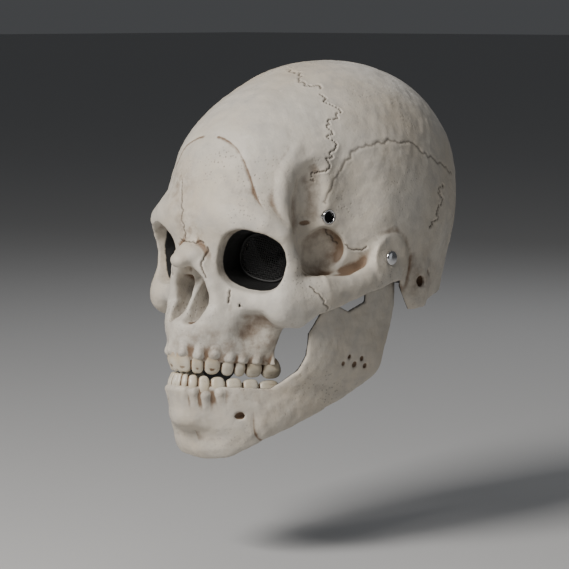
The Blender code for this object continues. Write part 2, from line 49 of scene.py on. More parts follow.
# Mouth and hinge
BITE_GAP = 0.0012
EAR_RADIUS = 0.0085
JAW_CLEARANCE = 0.0010
HINGE_FACE = 0.0742

# Eye screens
SCREEN_DEPTH = 0.0170
SCREEN_THICK = 0.0012
SCREEN_CLEARANCE = 0.0008

# Fasteners
EYELET_BORE = 0.0076
EYELET_BARREL = 0.0084
EYELET_HEAD = 0.0100
EYELET_LIP = 0.0006
SEAT_DEPTH = 0.0006
RIVET_SHANK = 0.0046
RIVET_HEAD = 0.0100
RIVET_RAISE = 0.0030
RIVET_CROWN = 0.0020
RIVET_CAP = 0.0080
RIVET_CAP_THICK = 0.0012
FIT_GAP = 0.0003

SIZE = np.array((HALF_WIDTH, HALF_LENGTH, HALF_HEIGHT))

# Places in the tables are shares of HALF_WIDTH across, HALF_LENGTH fore and aft and HALF_HEIGHT
# upwards, measured from the middle of the vault. A mass's three half sizes go the same way.
# Radii and blends are shares of HALF_WIDTH.

# Rounded masses: name, x, y, z, half width, half length, half height, squareness, blend
SKULL_MASSES = (
    ("vault", 0.00, 0.045, 0.00, 0.96, 0.965, 0.98, 2.1, 0.00),
    ("forehead", 0.00, -0.58, 0.02, 0.64, 0.55, 0.61, 2.2, 0.30),
    ("glabella", 0.00, -0.86, -0.24, 0.56, 0.30, 0.28, 2.2, 0.30),
    ("nape", 0.00, 0.15, -0.50, 0.82, 0.73, 1.10, 2.3, 0.25),
    ("face", 0.00, -0.72, -0.56, 0.72, 0.40, 0.62, 2.2, 0.15),
    ("side", 0.00, -0.32, -0.76, 0.885, 0.60, 0.19, 4.0, 0.06),
    ("cheek", 0.62, -0.87, -0.82, 0.19, 0.16, 0.17, 2.2, 0.10),
    ("snout", 0.00, -0.86, -0.98, 0.46, 0.38, 0.36, 2.2, 0.15),
    ("mastoid", 0.78, 0.22, -0.76, 0.12, 0.12, 0.24, 2.2, 0.10),
)

# Height of the inside of the crown over the middle of the vault
CROWN = SKULL_MASSES[0][6] * HALF_HEIGHT - WALL

# Bars along a line of points: name, height over width, blend, then rows of x, y, z, radius
SKULL_BARS = (
    ("brow", 1.2, 0.10, (
        (0.00, -1.10, -0.20, 0.10),
        (0.22, -1.10, -0.17, 0.11),
        (0.42, -1.06, -0.18, 0.11),
        (0.58, -1.00, -0.23, 0.10),
        (0.68, -0.93, -0.30, 0.085),
        (0.70, -0.87, -0.48, 0.075),
        (0.68, -0.88, -0.66, 0.09),
    )),
    ("under_eye", 1.0, 0.08, (
        (0.66, -0.89, -0.78, 0.10),
        (0.45, -0.99, -0.82, 0.085),
        (0.27, -1.06, -0.74, 0.08),
        (0.17, -1.10, -0.54, 0.09),
        (0.13, -1.10, -0.34, 0.09),
    )),
    ("arch", 2.0, 0.05, (
        (0.74, -0.82, -0.80, 0.10),
        (0.84, -0.66, -0.73, 0.078),
        (0.88, -0.44, -0.70, 0.066),
        (0.88, -0.18, -0.65, 0.068),
        (0.84, 0.02, -0.58, 0.085),
    )),
    ("nose_bridge", 0.8, 0.05, (
        (0.00, -1.10, -0.34, 0.090),
        (0.00, -1.20, -0.42, 0.085),
        (0.00, -1.29, -0.49, 0.080),
    )),
    ("nose_side", 1.0, 0.06, (
        (0.08, -1.21, -0.47, 0.07),
        (0.18, -1.17, -0.60, 0.06),
        (0.25, -1.14, -0.82, 0.06),
        (0.16, -1.20, -1.02, 0.06),
        (0.00, -1.26, -1.02, 0.05),
    )),
    ("temporal_line", 1.0, 0.06, (
        (0.66, -0.87, -0.24, 0.05),
        (0.61, -0.88, -0.05, 0.04),
        (0.59, -0.85, 0.14, 0.03),
        (0.60, -0.73, 0.33, 0.02),
    )),
)

# Hollows: name, x, y, z, half width, half length, half height, squareness, blend
SKULL_HOLLOWS = (
    ("temple", 1.03, -0.54, -0.14, 0.27, 0.28, 0.48, 2.0, 0.18),
    ("temple_front", 0.87, -0.71, -0.11, 0.26, 0.17, 0.45, 2.5, 0.03),
    ("arch_pocket", 0.71, -0.60, -0.44, 0.13, 0.21, 0.19, 2.0, 0.02),
    ("nostril", 0.100, -1.22, -0.79, 0.082, 0.24, 0.18, 2.2, 0.02),
    ("nose_front", 0.00, -1.34, -0.74, 0.14, 0.12, 0.19, 2.2, 0.02),
    ("canine_hollow", 0.50, -1.04, -1.03, 0.12, 0.10, 0.11, 2.0, 0.14),
)

# Lower edge of the cranium in side view, front to back: y, z
SKULL_EDGE = (
    (-2.00, -1.23),
    (-1.36, -1.23),
    (-0.83, -1.30),
    (-0.80, -1.00),
    (-0.72, -0.90),
    (-0.52, -0.83),
    (-0.30, -0.76),
    (-0.10, -0.71),
    (0.02, -0.70),
    (0.08, -0.82),
    (0.15, -0.94),
    (0.36, -0.92),
    (0.52, -0.86),
    (2.00, -0.84),
    (2.00, -3.00),
    (-2.00, -3.00),
)

JAW_MASSES = (
    ("chin", 0.00, -0.94, -1.84, 0.34, 0.25, 0.22, 2.4, 0.00),
    ("middle", 0.00, -0.50, -1.50, 0.60, 0.66, 0.45, 2.4, 0.20),
    ("rami", 0.00, -0.34, -0.92, 0.82, 0.56, 0.66, 4.0, 0.15),
)
JAW_BARS = (
    ("lower_border", 1.4, 0.12, (
        (0.00, -1.06, -1.87, 0.10),
        (0.24, -1.02, -1.86, 0.10),
        (0.42, -0.90, -1.74, 0.10),
        (0.53, -0.68, -1.63, 0.10),
        (0.61, -0.38, -1.50, 0.09),
        (0.66, -0.14, -1.36, 0.09),
    )),
)

# Outline of the jaw in side view, from the front along the top: y, z
JAW_OUTLINE = (
    (-2.00, -1.42),
    (-1.36, -1.42),
    (-0.89, -1.46),
    (-0.83, -1.41),
    (-0.775, -1.33),
    (-0.745, -1.20),
    (-0.735, -1.04),
    (-0.66, -0.90),
    (-0.60, -0.80),
    (-0.42, -0.90),
    (-0.26, -0.84),
    (-0.24, -0.60),
    (-0.20, -0.45),
    (-0.12, -0.41),
    (-0.04, -0.45),
    (0.04, -0.62),
    (0.13, -0.74),
    (0.05, -0.96),
    (-0.05, -1.20),
    (-0.09, -1.38),
    (-0.16, -1.46),
    (-0.38, -1.60),
    (-0.69, -1.74),
    (-0.90, -1.85),
    (-1.08, -1.99),
    (-1.25, -2.05),
    (-2.00, -2.05),
)

# The tooth rows follow a parabola in plan: its front, and how far back it runs at HALF_WIDTH
ARCH_FRONT = -1.345
ARCH_RUN = 2.33

# The biting edge in side view: y, z at the front and at the last tooth
BITE_FRONT = (-1.36, -1.325)
BITE_BACK = (-0.82, -1.405)

# Teeth from the middle outwards: outer end across, crown height, how pointed
UPPER_TEETH = (
    (0.134, 0.172, 0.00),
    (0.210, 0.160, 0.00),
    (0.291, 0.175, 0.04),
    (0.343, 0.150, 0.03),
    (0.385, 0.140, 0.03),
    (0.441, 0.140, 0.01),
    (0.500, 0.130, 0.01),
)
LOWER_TEETH = (
    (0.055, 0.135, 0.00),
    (0.110, 0.135, 0.00),
    (0.175, 0.140, 0.00),
    (0.242, 0.165, 0.04),
    (0.310, 0.140, 0.03),
    (0.375, 0.130, 0.03),
    (0.431, 0.125, 0.01),
    (0.495, 0.120, 0.01),
)
TOOTH_DEPTH = 0.055
TOOTH_SQUARE = 3.0
GUM_INSET = 0.012

# Eye openings: middle, half width and half height of the rim, and their turns
EYE = (0.438, -0.952, -0.487)
EYE_HALF_WIDTH = 0.262 * HALF_WIDTH
EYE_HALF_HEIGHT = 0.216 * HALF_HEIGHT
EYE_YAW = math.radians(24)
EYE_ROLL = math.radians(-12)
EYE_SQUARE = 2.5
EYE_TAPER = 0.14
EYE_WINDOW = 0.75

# Hinge line in side view: y, z
HINGE = (-0.12, -0.51)

# Paints and metals
PALE_BONE = (0.64, 0.60, 0.53)
WARM_BONE = (0.58, 0.51, 0.41)
GREY_BONE = (0.42, 0.40, 0.37)
# Brown wash colour, also used for the painted shade of broad hollows
BROWN_WASH_AND_SHADE = (0.16, 0.09, 0.045)
DARK_WASH = (0.055, 0.038, 0.026)
BLACK_PAINT = (0.012, 0.012, 0.012)
INNER_GREY = (0.035, 0.035, 0.036)
PALE_TOOTH = (0.66, 0.61, 0.51)
WARM_TOOTH = (0.58, 0.50, 0.37)
TOOTH_STAIN = (0.30, 0.18, 0.08)
STEEL = (0.78, 0.78, 0.79)
DULL_STEEL = (0.45, 0.45, 0.46)
THREAD_DARK = (0.010, 0.010, 0.010)
THREAD_LIGHT = (0.035, 0.035, 0.035)

# Camera and floor
CAMERA_AZIMUTH = 44
CAMERA_ELEVATION = 6
CAMERA_DISTANCE = 1.8
CAMERA_FRAME = 0.39261
CAMERA_SHIFT_RIGHT = 0.024495
CAMERA_SHIFT_UP = 0.068655
FLOOR = -0.330

# Lights: name, places right of, above and in front of the aim, size, power, colour
LIGHTS = (
    ("key", -0.9, 0.9, 1.1, 0.6, 34, (1.0, 0.97, 0.93)),
    ("fill", 1.3, 0.2, 0.9, 1.2, 1.6, (0.93, 0.96, 1.0)),
    ("rim", 0.5, 1.2, -1.2, 0.8, 4, (0.95, 0.97, 1.0)),
)

# Grid cells and triangles of the fine skins, and two opposite corners of each grid as shares
SKIN_CELL = 0.0010
TOOTH_CELL = 0.0005
SKIN_TRIANGLES = 190000
JAW_SKIN_TRIANGLES = 110000
SKULL_GRID = ((0, -1.62, -1.55), (1.06, 1.08, 1.05))
JAW_GRID = ((0, -1.62, -2.15), (0.95, 0.30, -0.30))
UPPER_TEETH_GRID = ((0, -1.42, -1.45), (0.58, -0.66, -1.00))
LOWER_TEETH_GRID = ((0, -1.42, -1.62), (0.58, -0.66, -1.32))

# Blends of the eye openings, the free edges and the hinge boss
EYE_BLEND = 0.015
EDGE_BLEND = 0.02
BOSS_BLEND = 0.10

# Gums: lower and upper height, how far they run, and their rounding
UPPER_GUM = (-1.44, -0.92)
LOWER_GUM = (-1.76, -1.36)
GUM_HALF_WIDTH = 0.62
GUM_FRONT = 1.6 * ARCH_FRONT
GUM_BACK = -0.70
GUM_BLEND = 0.12

# Root ridges: start as a share of the crown, lean across and back, length, radius and blend
ROOT_START = 0.9
ROOT_LEAN = (-0.02, 0.035)
ROOT_LENGTH = 0.17
ROOT_RADIUS = 0.034
ROOT_BLEND = 0.03

# Crowns as shares of their own sizes: half height, narrowing at the neck, thinning and lean at
# the edge, and the width left by the gap between neighbours
CROWN_HALF = 0.62
NECK_NARROWING = 0.30
EDGE_THINNING = 0.38
EDGE_LEAN = 0.10
CROWN_WIDTH = 0.985

# Small hollows: name, x, y, z, radius across, depth radius, blend, all as shares
SKULL_PITS = (
    ("under_eye_hole", 0.40, -1.04, -0.82, 0.026, 0.06, 0.010),
    ("temple_hole", 0.63, -0.68, -0.22, 0.020, 0.06, 0.010),
    ("ear_hole", 0.86, 0.21, -0.72, 0.048, 0.06, 0.020),
    ("mastoid_pit", 0.88, 0.31, -0.66, 0.026, 0.04, 0.015),
)
JAW_PITS = (
    ("chin_hole", 0.38, -1.06, -1.66, 0.030, 0.06, 0.010),
    ("angle_pit_a", 0.80, -0.45, -1.30, 0.022, 0.03, 0.010),
    ("angle_pit_b", 0.80, -0.40, -1.25, 0.020, 0.03, 0.010),
    ("angle_pit_c", 0.80, -0.34, -1.32, 0.032, 0.04, 0.012),
    ("angle_pit_d", 0.80, -0.28, -1.28, 0.022, 0.03, 0.010),
    ("angle_pit_e", 0.79, -0.24, -1.34, 0.022, 0.03, 0.010),
)

# Sutures and cracks: name, the side it is seen from, sides, width and depth in mm, zigzag in mm,
# then points as shares: y, z from the side, x, y from the top and x, z from the front
LINES = (
    ("coronal_low", "side", 2, 1.0, 0.8, 2.2, (
        (-0.64, 0.09), (-0.54, 0.21), (-0.50, 0.36), (-0.47, 0.49), (-0.41, 0.64), (-0.40, 0.75))),
    ("coronal_top", "top", 2, 1.1, 0.9, 2.6, (
        (0.47, -0.40), (0.24, -0.40), (0.10, -0.34), (0.00, -0.31))),
    ("squamous", "side", 2, 1.5, 0.5, 0.9, (
        (-0.55, -0.09), (-0.54, 0.03), (-0.48, 0.18), (-0.41, 0.29), (-0.34, 0.34), (-0.22, 0.37),
        (-0.08, 0.37), (0.13, 0.34), (0.22, 0.26), (0.36, 0.20), (0.61, 0.08))),
    ("sphenoid", "side", 2, 1.0, 0.7, 0.6, (
        (-0.52, -0.26), (-0.46, -0.33), (-0.40, -0.41), (-0.33, -0.44), (-0.26, -0.42))),
    ("lambdoid", "side", 2, 1.3, 0.9, 2.8, (
        (0.38, 0.04), (0.36, -0.10), (0.33, -0.21), (0.31, -0.33))),
    ("brow_crack", "front", 1, 1.0, 0.9, 0.7, (
        (-0.20, 0.10), (-0.12, -0.04), (-0.09, -0.16), (-0.06, -0.28), (-0.06, -0.38))),
    ("nose_root", "front", 1, 0.9, 0.8, 0.8, (
        (-0.14, -0.36), (-0.04, -0.35), (0.06, -0.36), (0.15, -0.37))),
    ("nose_fold", "front", 2, 1.1, 0.9, 0.4, (
        (0.17, -0.38), (0.16, -0.50), (0.19, -0.64))),
    ("cheek_crack", "front", 1, 1.0, 0.9, 0.6, (
        (0.33, -0.70), (0.35, -0.76), (0.34, -0.82))),
    ("cheek_seam", "side", 2, 0.9, 0.7, 0.8, (
        (-0.80, -0.66), (-0.74, -0.74), (-0.70, -0.84), (-0.66, -0.88))),
)

# Lines: spacing of their points and how many are averaged, reach, and where edges are halved
LINE_STEP = 0.0007
LINE_SMOOTHING = 15
LINE_REACH = 0.0040
LINE_SPLIT = 0.0026

# Zigzag of the lines: wavelength, strength
LINE_SWAY = ((0.020, 1.2), (0.0065, 1.0), (0.003, 0.5))

# Waviness of the skins: wavelength, height, seed
SKIN_WAVES = ((0.030, 0.00022, 5), (0.011, 0.00014, 6), (0.0045, 0.00006, 7))

# Darkness behind each nostril: x, y, z, radius, strength, as shares
NOSE_DARK = (
    (0.08, -1.03, -0.79, 0.19, 1.0),
)

# Brown wash blotches: x, y, z, radius, strength, as shares
STAINS = (
    (-0.20, -1.08, 0.05, 0.16, 1.0),
    (-0.06, -1.14, -0.22, 0.14, 0.8),
    (0.02, -1.18, -0.30, 0.12, 0.6),
    (0.10, -1.30, -1.16, 0.22, 0.6),
    (0.30, -1.12, -1.14, 0.20, 0.6),
    (0.46, -0.92, -1.10, 0.20, 0.7),
    (0.55, -0.90, -0.86, 0.15, 0.4),
    (0.20, -1.20, -1.46, 0.20, 0.5),
    (0.46, -0.92, -1.52, 0.20, 0.5),
    (0.86, 0.20, -0.70, 0.22, 0.6),
)

# Screen weave
WIRE_PITCH = 0.0015
WIRE_RADIUS = 0.00026
RIM_RADIUS = 0.0009


def smooth_union(a, b, blend):
    """Joins two fields with a fillet of about this blend."""
    if blend <= 0:
        return np.minimum(a, b)
    near = np.maximum(blend - np.abs(a - b), 0) / blend
    return np.minimum(a, b) - near * near * blend / 4


def smooth_common(a, b, blend):
    return -smooth_union(-a, -b, blend)


def smooth_cut(a, b, blend):
    return -smooth_union(-a, b, blend)


def step_between(low, high, value):
    share = np.clip((value - low) / (high - low), 0, 1)
    return share * share * (3 - 2 * share)


def ripple(points, length, seed, count=14):
    """Smooth random field of about this wavelength at points, between about -1 and 1."""
    random = np.random.default_rng(seed)
    total = 0
    for _ in range(count):
        wave = random.normal(size=3)
        wave *= 2 * math.pi / length * random.uniform(0.6, 1.6) / np.linalg.norm(wave)
        total = total + np.sin(points @ wave + random.uniform(0, 2 * math.pi))
    return total / math.sqrt(count / 2) / 1.6


def rounded(points, centre, radii, square):
    """Distance to a rounded block: an ellipsoid at a squareness of 2, boxier above it."""
    parts = [np.abs(p - c) / r for p, c, r in zip(points, centre, radii)]
    near = sum(part**square for part in parts) ** (1 / square)
    slope = np.sqrt(sum((part ** (square - 1) / r) ** 2 for part, r in zip(parts, radii)))
    return (near - 1) * near ** (square - 1) / np.maximum(slope, 1e-6)


def bar(points, ends, tall):
    """Distance to a chain of tapering round bars; tall stretches their sections upwards."""
    best = np.inf
    for (a, radius_a), (b, radius_b) in zip(ends, ends[1:]):
        axis = b - a
        offsets = [p - c for p, c in zip(points, a)]
        share = np.clip(sum(o * d for o, d in zip(offsets, axis)) / axis.dot(axis), 0, 1)
        away = [o - share * d for o, d in zip(offsets, axis)]
        away[2] = away[2] / tall
        radius = radius_a + (radius_b - radius_a) * share
        best = np.minimum(best, np.sqrt(sum(o * o for o in away)) - radius)
    return best


def outline_distance(y, z, corners):
    """Distance to a closed outline in side view, negative inside it."""
    points = np.stack(np.meshgrid(y, z, indexing="ij"))
    best = np.full(points.shape[1:], np.inf)
    inside = np.zeros(points.shape[1:], dtype=bool)
    for a, b in zip(corners, np.roll(corners, -1, axis=0)):
        edge = (b - a)[:, None, None]
        offset = points - a[:, None, None]
        share = np.clip((offset * edge).sum(0) / (edge * edge).sum(), 0, 1)
        best = np.minimum(best, np.hypot(*(offset - share * edge)))
        if a[1] != b[1]:
            crosses = (a[1] > points[1]) != (b[1] > points[1])
            reach = a[0] + offset[1] / (b[1] - a[1]) * (b[0] - a[0])
            inside ^= crosses & (points[0] < reach)
    return np.where(inside, -best, best)


def arch_plan(x):
    """Fore-and-aft place and slope of the tooth row at x."""
    run = ARCH_RUN * HALF_LENGTH / HALF_WIDTH**2
    return ARCH_FRONT * HALF_LENGTH + run * x * x, 2 * run * x


def bite_height(y):
    share = (y / HALF_LENGTH - BITE_FRONT[0]) / (BITE_BACK[0] - BITE_FRONT[0])
    return (BITE_FRONT[1] + share * (BITE_BACK[1] - BITE_FRONT[1])) * HALF_HEIGHT


def eye_place(points):
    """Nearness to an eye's axis, 1 at the rim, and the depth behind the rim."""
    x, y, z = (p - c for p, c in zip(points, np.array(EYE) * SIZE))
    across = x * math.cos(EYE_YAW) + y * math.sin(EYE_YAW)
    depth = y * math.cos(EYE_YAW) - x * math.sin(EYE_YAW)
    side = across * math.cos(EYE_ROLL) + z * math.sin(EYE_ROLL)
    up = z * math.cos(EYE_ROLL) - across * math.sin(EYE_ROLL)
    parts = (np.abs(side) / EYE_HALF_WIDTH, np.abs(up) / EYE_HALF_HEIGHT)
    return sum(part**EYE_SQUARE for part in parts) ** (1 / EYE_SQUARE), depth


def eye_narrowing(depth):
    return 1 - EYE_TAPER * np.clip(depth / SCREEN_DEPTH, -0.6, 1.0)


class Form:
    """A form as distances on a grid of points over the +X half, negative inside."""

    def __init__(self, low, high, cell):
        low, high = np.array(low) * SIZE, np.array(high) * SIZE
        starts = (cell / 2, low[1], low[2])
        self.cell = cell
        self.axes = [np.arange(a, b + cell, cell) for a, b in zip(starts, high)]
        self.value = np.full([len(axis) for axis in self.axes], HALF_WIDTH)

    def join(self, low, high, distance, how, blend):
        """Joins or cuts what distance gives, in the part of the grid between two corners."""
        reach = blend + 3 * WALL
        parts = tuple(
            slice(*np.searchsorted(axis, (a - reach, b + reach)))
            for axis, a, b in zip(self.axes, low, high)
        )
        spans = [axis[part] for axis, part in zip(self.axes, parts)]
        points = np.meshgrid(*spans, indexing="ij", sparse=True)
        self.value[parts] = how(self.value[parts], distance(points), blend)

    def mass(self, row, how=smooth_union):
        name, x, y, z, width, length, height, square, blend = row
        centre = np.array((x, y, z)) * SIZE
        radii = np.array((width, length, height)) * SIZE

        def distance(points):
            found = rounded(points, centre, radii, square)
            if 0 < x < width:
                found = np.minimum(found, rounded(points, centre * (-1, 1, 1), radii, square))
            return found

        self.join(centre - radii, centre + radii, distance, how, blend * HALF_WIDTH)

    def bars(self, row):
        name, tall, blend, ends = row
        ends = [(np.array(end[:3]) * SIZE, end[3] * HALF_WIDTH) for end in ends]
        reach = max(r for _, r in ends) * max(tall, 1)
        centres = np.array([c for c, _ in ends])
        self.join(
            centres.min(0) - reach, centres.max(0) + reach,
            lambda points: bar(points, ends, tall), smooth_union, blend * HALF_WIDTH,
        )

    def gum(self, low, high):
        """Fills the tooth row's arch between two heights."""
        low, high = low * HALF_HEIGHT, high * HALF_HEIGHT
        rounding = GUM_BLEND * HALF_WIDTH

        def distance(points):
            x, y, z = points
            front, slope = arch_plan(x)
            ahead = (front + GUM_INSET * HALF_WIDTH - y) / np.sqrt(1 + slope * slope)
            tall = np.abs(z - (low + high) / 2) - (high - low) / 2
            return smooth_common(ahead, tall, rounding)

        self.join(
            (0, GUM_FRONT * HALF_LENGTH, low),
            (GUM_HALF_WIDTH * HALF_WIDTH, GUM_BACK * HALF_LENGTH, high),
            distance, smooth_union, rounding,
        )

    def roots(self, table, upper):
        """A soft ridge over each tooth's root."""
        turn = 1 if upper else -1
        lean = np.array((*ROOT_LEAN, turn * ROOT_LENGTH)) * SIZE
        radius = ROOT_RADIUS * HALF_WIDTH
        for x, y, z, half, slope, crown, point in tooth_places(table, upper):
            start = np.array((x, y + GUM_INSET * HALF_WIDTH, z + turn * ROOT_START * crown))
            ends = [(start, radius), (start + lean, radius / 3)]
            self.join(
                np.minimum(start, start + lean) - radius, np.maximum(start, start + lean) + radius,
                lambda points: bar(points, ends, 1), smooth_union, ROOT_BLEND * HALF_WIDTH,
            )

    def pit(self, row):
        name, x, y, z, radius, depth, blend = row
        centre = np.array((x, y, z)) * SIZE
        radii = np.array((depth, depth, radius)) * HALF_WIDTH
        radii[int(abs(x) > 0.65)] = radius * HALF_WIDTH
        self.join(
            centre - radii, centre + radii,
            lambda points: rounded(points, centre, radii, 2), smooth_cut, blend * HALF_WIDTH,
        )

    def bore(self, centre, axis, radius, low, high):
        """Cuts a round hole between two places along an axis."""

        def distance(points):
            offsets = [p - c for p, c in zip(points, centre)]
            along = sum(o * a for o, a in zip(offsets, axis))
            around = np.sqrt(np.maximum(sum(o * o for o in offsets) - along * along, 0)) - radius
            return np.maximum(around, np.abs(along - (low + high) / 2) - (high - low) / 2)

        reach = radius + max(abs(low), abs(high))
        self.join(centre - reach, centre + reach, distance, smooth_cut, 0)

    def hollow_out(self):
        """Leaves a wall under the surface, even where two forms meet, and keeps the solid form."""
        self.solid = self.value.copy()
        steep = np.sqrt(sum(part**2 for part in np.gradient(self.value, self.cell)))
        inner = self.value / np.clip(steep, 0.4, 2.0) + WALL
        span = int(WALL / self.cell)
        padded = np.pad(self.value, span, mode="edge")
        steps = range(-span, span + 1)
        for i, j, k in ((i, j, k) for i in steps for j in steps for k in steps):
            if span * span - span < i * i + j * j + k * k <= span * span:
                places = zip((i, j, k), self.value.shape)
                window = tuple(slice(span + s, span + s + n) for s, n in places)
                inner = np.maximum(inner, padded[window])
        self.value = np.maximum(self.value, -inner)

    def disc(self, low, high, radius, how, blend):
        """Joins or cuts a disc round the hinge line, between two places across."""
        y, z = np.array(HINGE) * SIZE[1:]

        def distance(points):
            around = np.hypot(points[1] - y, points[2] - z) - radius
            return np.maximum(around, np.abs(points[0] - (low + high) / 2) - (high - low) / 2)

        self.join((low, y - radius, z - radius), (high, y + radius, z + radius), distance, how, blend)

    def sample(self, field, points):
        """A field's values at points, by mixing its grid's eight nearest values."""
        start = np.array([axis[0] for axis in self.axes])
        place = (np.abs(points * (1, 0, 0)) + points * (0, 1, 1) - start) / self.cell
        limit = np.array(field.shape) - 2
        base = np.clip(np.floor(place).astype(int), 0, limit)
        share = np.clip(place - base, 0, 1)
        total = 0
        for corner in ((i, j, k) for i in (0, 1) for j in (0, 1) for k in (0, 1)):
            weight = np.prod(np.where(corner, share, 1 - share), axis=1)
            total = total + weight * field[tuple((base + corner).T)]
        return total

    def hollows(self, reach):
        """How far the surface lies in a hollow, at this reach, in metres."""
        field = self.solid
        span = max(1, round(reach / self.cell))
        for axis in range(3):
            field = sum(np.roll(field, s, axis=axis) for s in range(-span, span + 1)) / (2 * span + 1)
        return self.solid - field


def tooth_places(table, upper):
    """Each tooth's middle on the biting edge, half width, slope, crown height and point."""
    start = 0.0
    for end, crown, point in table:
        x = (start + end) / 2 * HALF_WIDTH
        y, slope = arch_plan(x)
        half = (end - start) / 2 * HALF_WIDTH * math.sqrt(1 + slope * slope)
        z = bite_height(y) - (0 if upper else BITE_GAP)
        yield x, y, z, half, slope, crown * HALF_HEIGHT, point
        start = end


def shape_teeth(table, upper):
    """The tooth row as its own form, on a finer grid."""
    form = Form(*(UPPER_TEETH_GRID if upper else LOWER_TEETH_GRID), TOOTH_CELL)
    turn = 1 if upper else -1
    deep = TOOTH_DEPTH * HALF_WIDTH
    for x, y, z, half, slope, crown, point in tooth_places(table, upper):
        angle = math.atan(slope)
        tall = crown * CROWN_HALF

        def distance(points):
            px, py, pz = (p - c for p, c in zip(points, (x, y, z)))
            across = px * math.cos(angle) + py * math.sin(angle)
            inward = py * math.cos(angle) - px * math.sin(angle)
            up = turn * pz - point * crown * np.abs(across / half)
            neck = 1 - NECK_NARROWING * step_between(0.35, 1.25, up / crown)
            thin = 1 - EDGE_THINNING + EDGE_THINNING * step_between(0.0, 0.6, up / crown)
            shift = deep * (1 - EDGE_LEAN * step_between(0.3, 0.0, up / crown))
            local = (across / neck, (inward - shift) / thin, up - tall)
            return rounded(local, (0, 0, 0), (half * CROWN_WIDTH, deep, tall), TOOTH_SQUARE) * 0.8

        reach = np.array((half + deep, half + deep, crown))
        middle = np.array((x, y + deep, z + turn * crown / 2))
        form.join(middle - reach, middle + reach, distance, smooth_union, 0)
    form.solid = form.value.copy()
    return form


def shape_cranium():
    form = Form(*SKULL_GRID, SKIN_CELL)
    for row in SKULL_MASSES:
        form.mass(row)
    for row in SKULL_BARS:
        form.bars(row)
    form.gum(*UPPER_GUM)
    form.roots(UPPER_TEETH, True)
    for row in SKULL_HOLLOWS:
        form.mass(row, smooth_cut)
    for row in SKULL_PITS:
        form.pit(row)
    reach = np.array((2 * EYE_HALF_WIDTH, 2 * EYE_HALF_WIDTH, 2 * EYE_HALF_HEIGHT))
    middle = np.array(EYE) * SIZE

    def funnel(points):
        near, depth = eye_place(points)
        return np.maximum((near - eye_narrowing(depth)) * EYE_HALF_HEIGHT, depth - SCREEN_DEPTH)

    def window(points):
        near, depth = eye_place(points)
        behind = np.abs(depth - SCREEN_DEPTH) - 3 * WALL
        return np.maximum((near - EYE_WINDOW) * EYE_HALF_HEIGHT, behind)

    form.join(middle - reach, middle + reach, funnel, smooth_cut, EYE_BLEND * HALF_WIDTH)
    boss = EAR_RADIUS + JAW_CLEARANCE + WALL
    top = HINGE_FACE + SEAT_DEPTH
    form.disc(HINGE_FACE - 6 * WALL, top, boss, smooth_union, BOSS_BLEND * HALF_WIDTH)
    form.hollow_out()
    form.join(middle - reach, middle + reach, window, smooth_cut, WALL / 4)
    edge = outline_distance(*form.axes[1:], np.array(SKULL_EDGE) * SIZE[1:])
    form.value = smooth_cut(form.value, edge[None], EDGE_BLEND * HALF_WIDTH)
    ear = EAR_RADIUS + JAW_CLEARANCE
    form.disc(HINGE_FACE - 3 * WALL, HINGE_FACE - WALL, ear, smooth_cut, 0)
    return form


def shape_jaw():
    form = Form(*JAW_GRID, SKIN_CELL)
    for row in JAW_MASSES:
        form.mass(row)
    for row in JAW_BARS:
        form.bars(row)
    form.gum(*LOWER_GUM)
    form.roots(LOWER_TEETH, False)
    for row in JAW_PITS:
        form.pit(row)
    form.hollow_out()
    outline = outline_distance(*form.axes[1:], np.array(JAW_OUTLINE) * SIZE[1:])
    form.value = smooth_common(form.value, outline[None], EDGE_BLEND * HALF_WIDTH)
    ear = HINGE_FACE - WALL - JAW_CLEARANCE
    form.disc(ear - WALL, ear, EAR_RADIUS, smooth_union, WALL / 4)
    return form


def corner_views(value):
    """The grid seen from each of a cell's eight corners."""
    ends = (slice(None, -1), slice(1, None))
    return [value[i, j, k] for i in ends for j in ends for k in ends]


def surface(axes, value):
    """Closed quad mesh of the zero level, with one vertex in each cell that it crosses."""
    views = corner_views(value)
    count = sum((view < 0).astype(np.int8) for view in views)
    active = (count > 0) & (count < 8)
    number = np.full(active.shape, -1)
    number[active] = np.arange(active.sum())
    cells = np.argwhere(active)
    held = np.stack([view[active] for view in views], axis=1)
    steps = np.array([(n >> 2 & 1, n >> 1 & 1, n & 1) for n in range(8)])
    total = np.zeros((len(cells), 3))
    crossings = np.zeros((len(cells), 1))
    for a, b in ((a, a | bit) for bit in (1, 2, 4) for a in range(8) if not a & bit):
        crossed = (held[:, a] < 0) != (held[:, b] < 0)
        share = held[crossed, a] / (held[crossed, a] - held[crossed, b])
        total[crossed] += steps[a] + share[:, None] * (steps[b] - steps[a])
        crossings[crossed] += 1
    places = cells + total / crossings
    points = [np.interp(places[:, n], np.arange(len(axis)), axis) for n, axis in enumerate(axes)]
    inside = value < 0
    faces = []
    for n, p, q in ((0, 1, 2), (1, 2, 0), (2, 0, 1)):
        leaves = inside & ~np.roll(inside, -1, axis=n)
        enters = ~inside & np.roll(inside, -1, axis=n)
        for crossed, order in ((leaves, 1), (enters, -1)):
            at = np.argwhere(crossed)
            ring = []
            for step_p, step_q in ((-1, -1), (0, -1), (0, 0), (-1, 0)):
                cell = at.copy()
                cell[:, p] += step_p
                cell[:, q] += step_q
                ring.append(number[tuple(cell.T)])
            faces.append(np.stack(ring, axis=1)[:, ::order])
    return np.stack(points, axis=1), np.concatenate(faces)


def main_island(points, faces):
    """The largest connected body alone."""
    label = np.arange(len(points))
    while True:
        lower = label.copy()
        np.minimum.at(lower, faces.ravel(), np.repeat(label[faces].min(axis=1), 4))
        lower = lower[lower]
        if (lower == label).all():
            break
        label = lower
    owner = label[faces[:, 0]]
    bodies, sizes = np.unique(owner, return_counts=True)
    kept, order = np.unique(faces[owner == bodies[sizes.argmax()]], return_inverse=True)
    return points[kept], order.reshape(-1, 4)


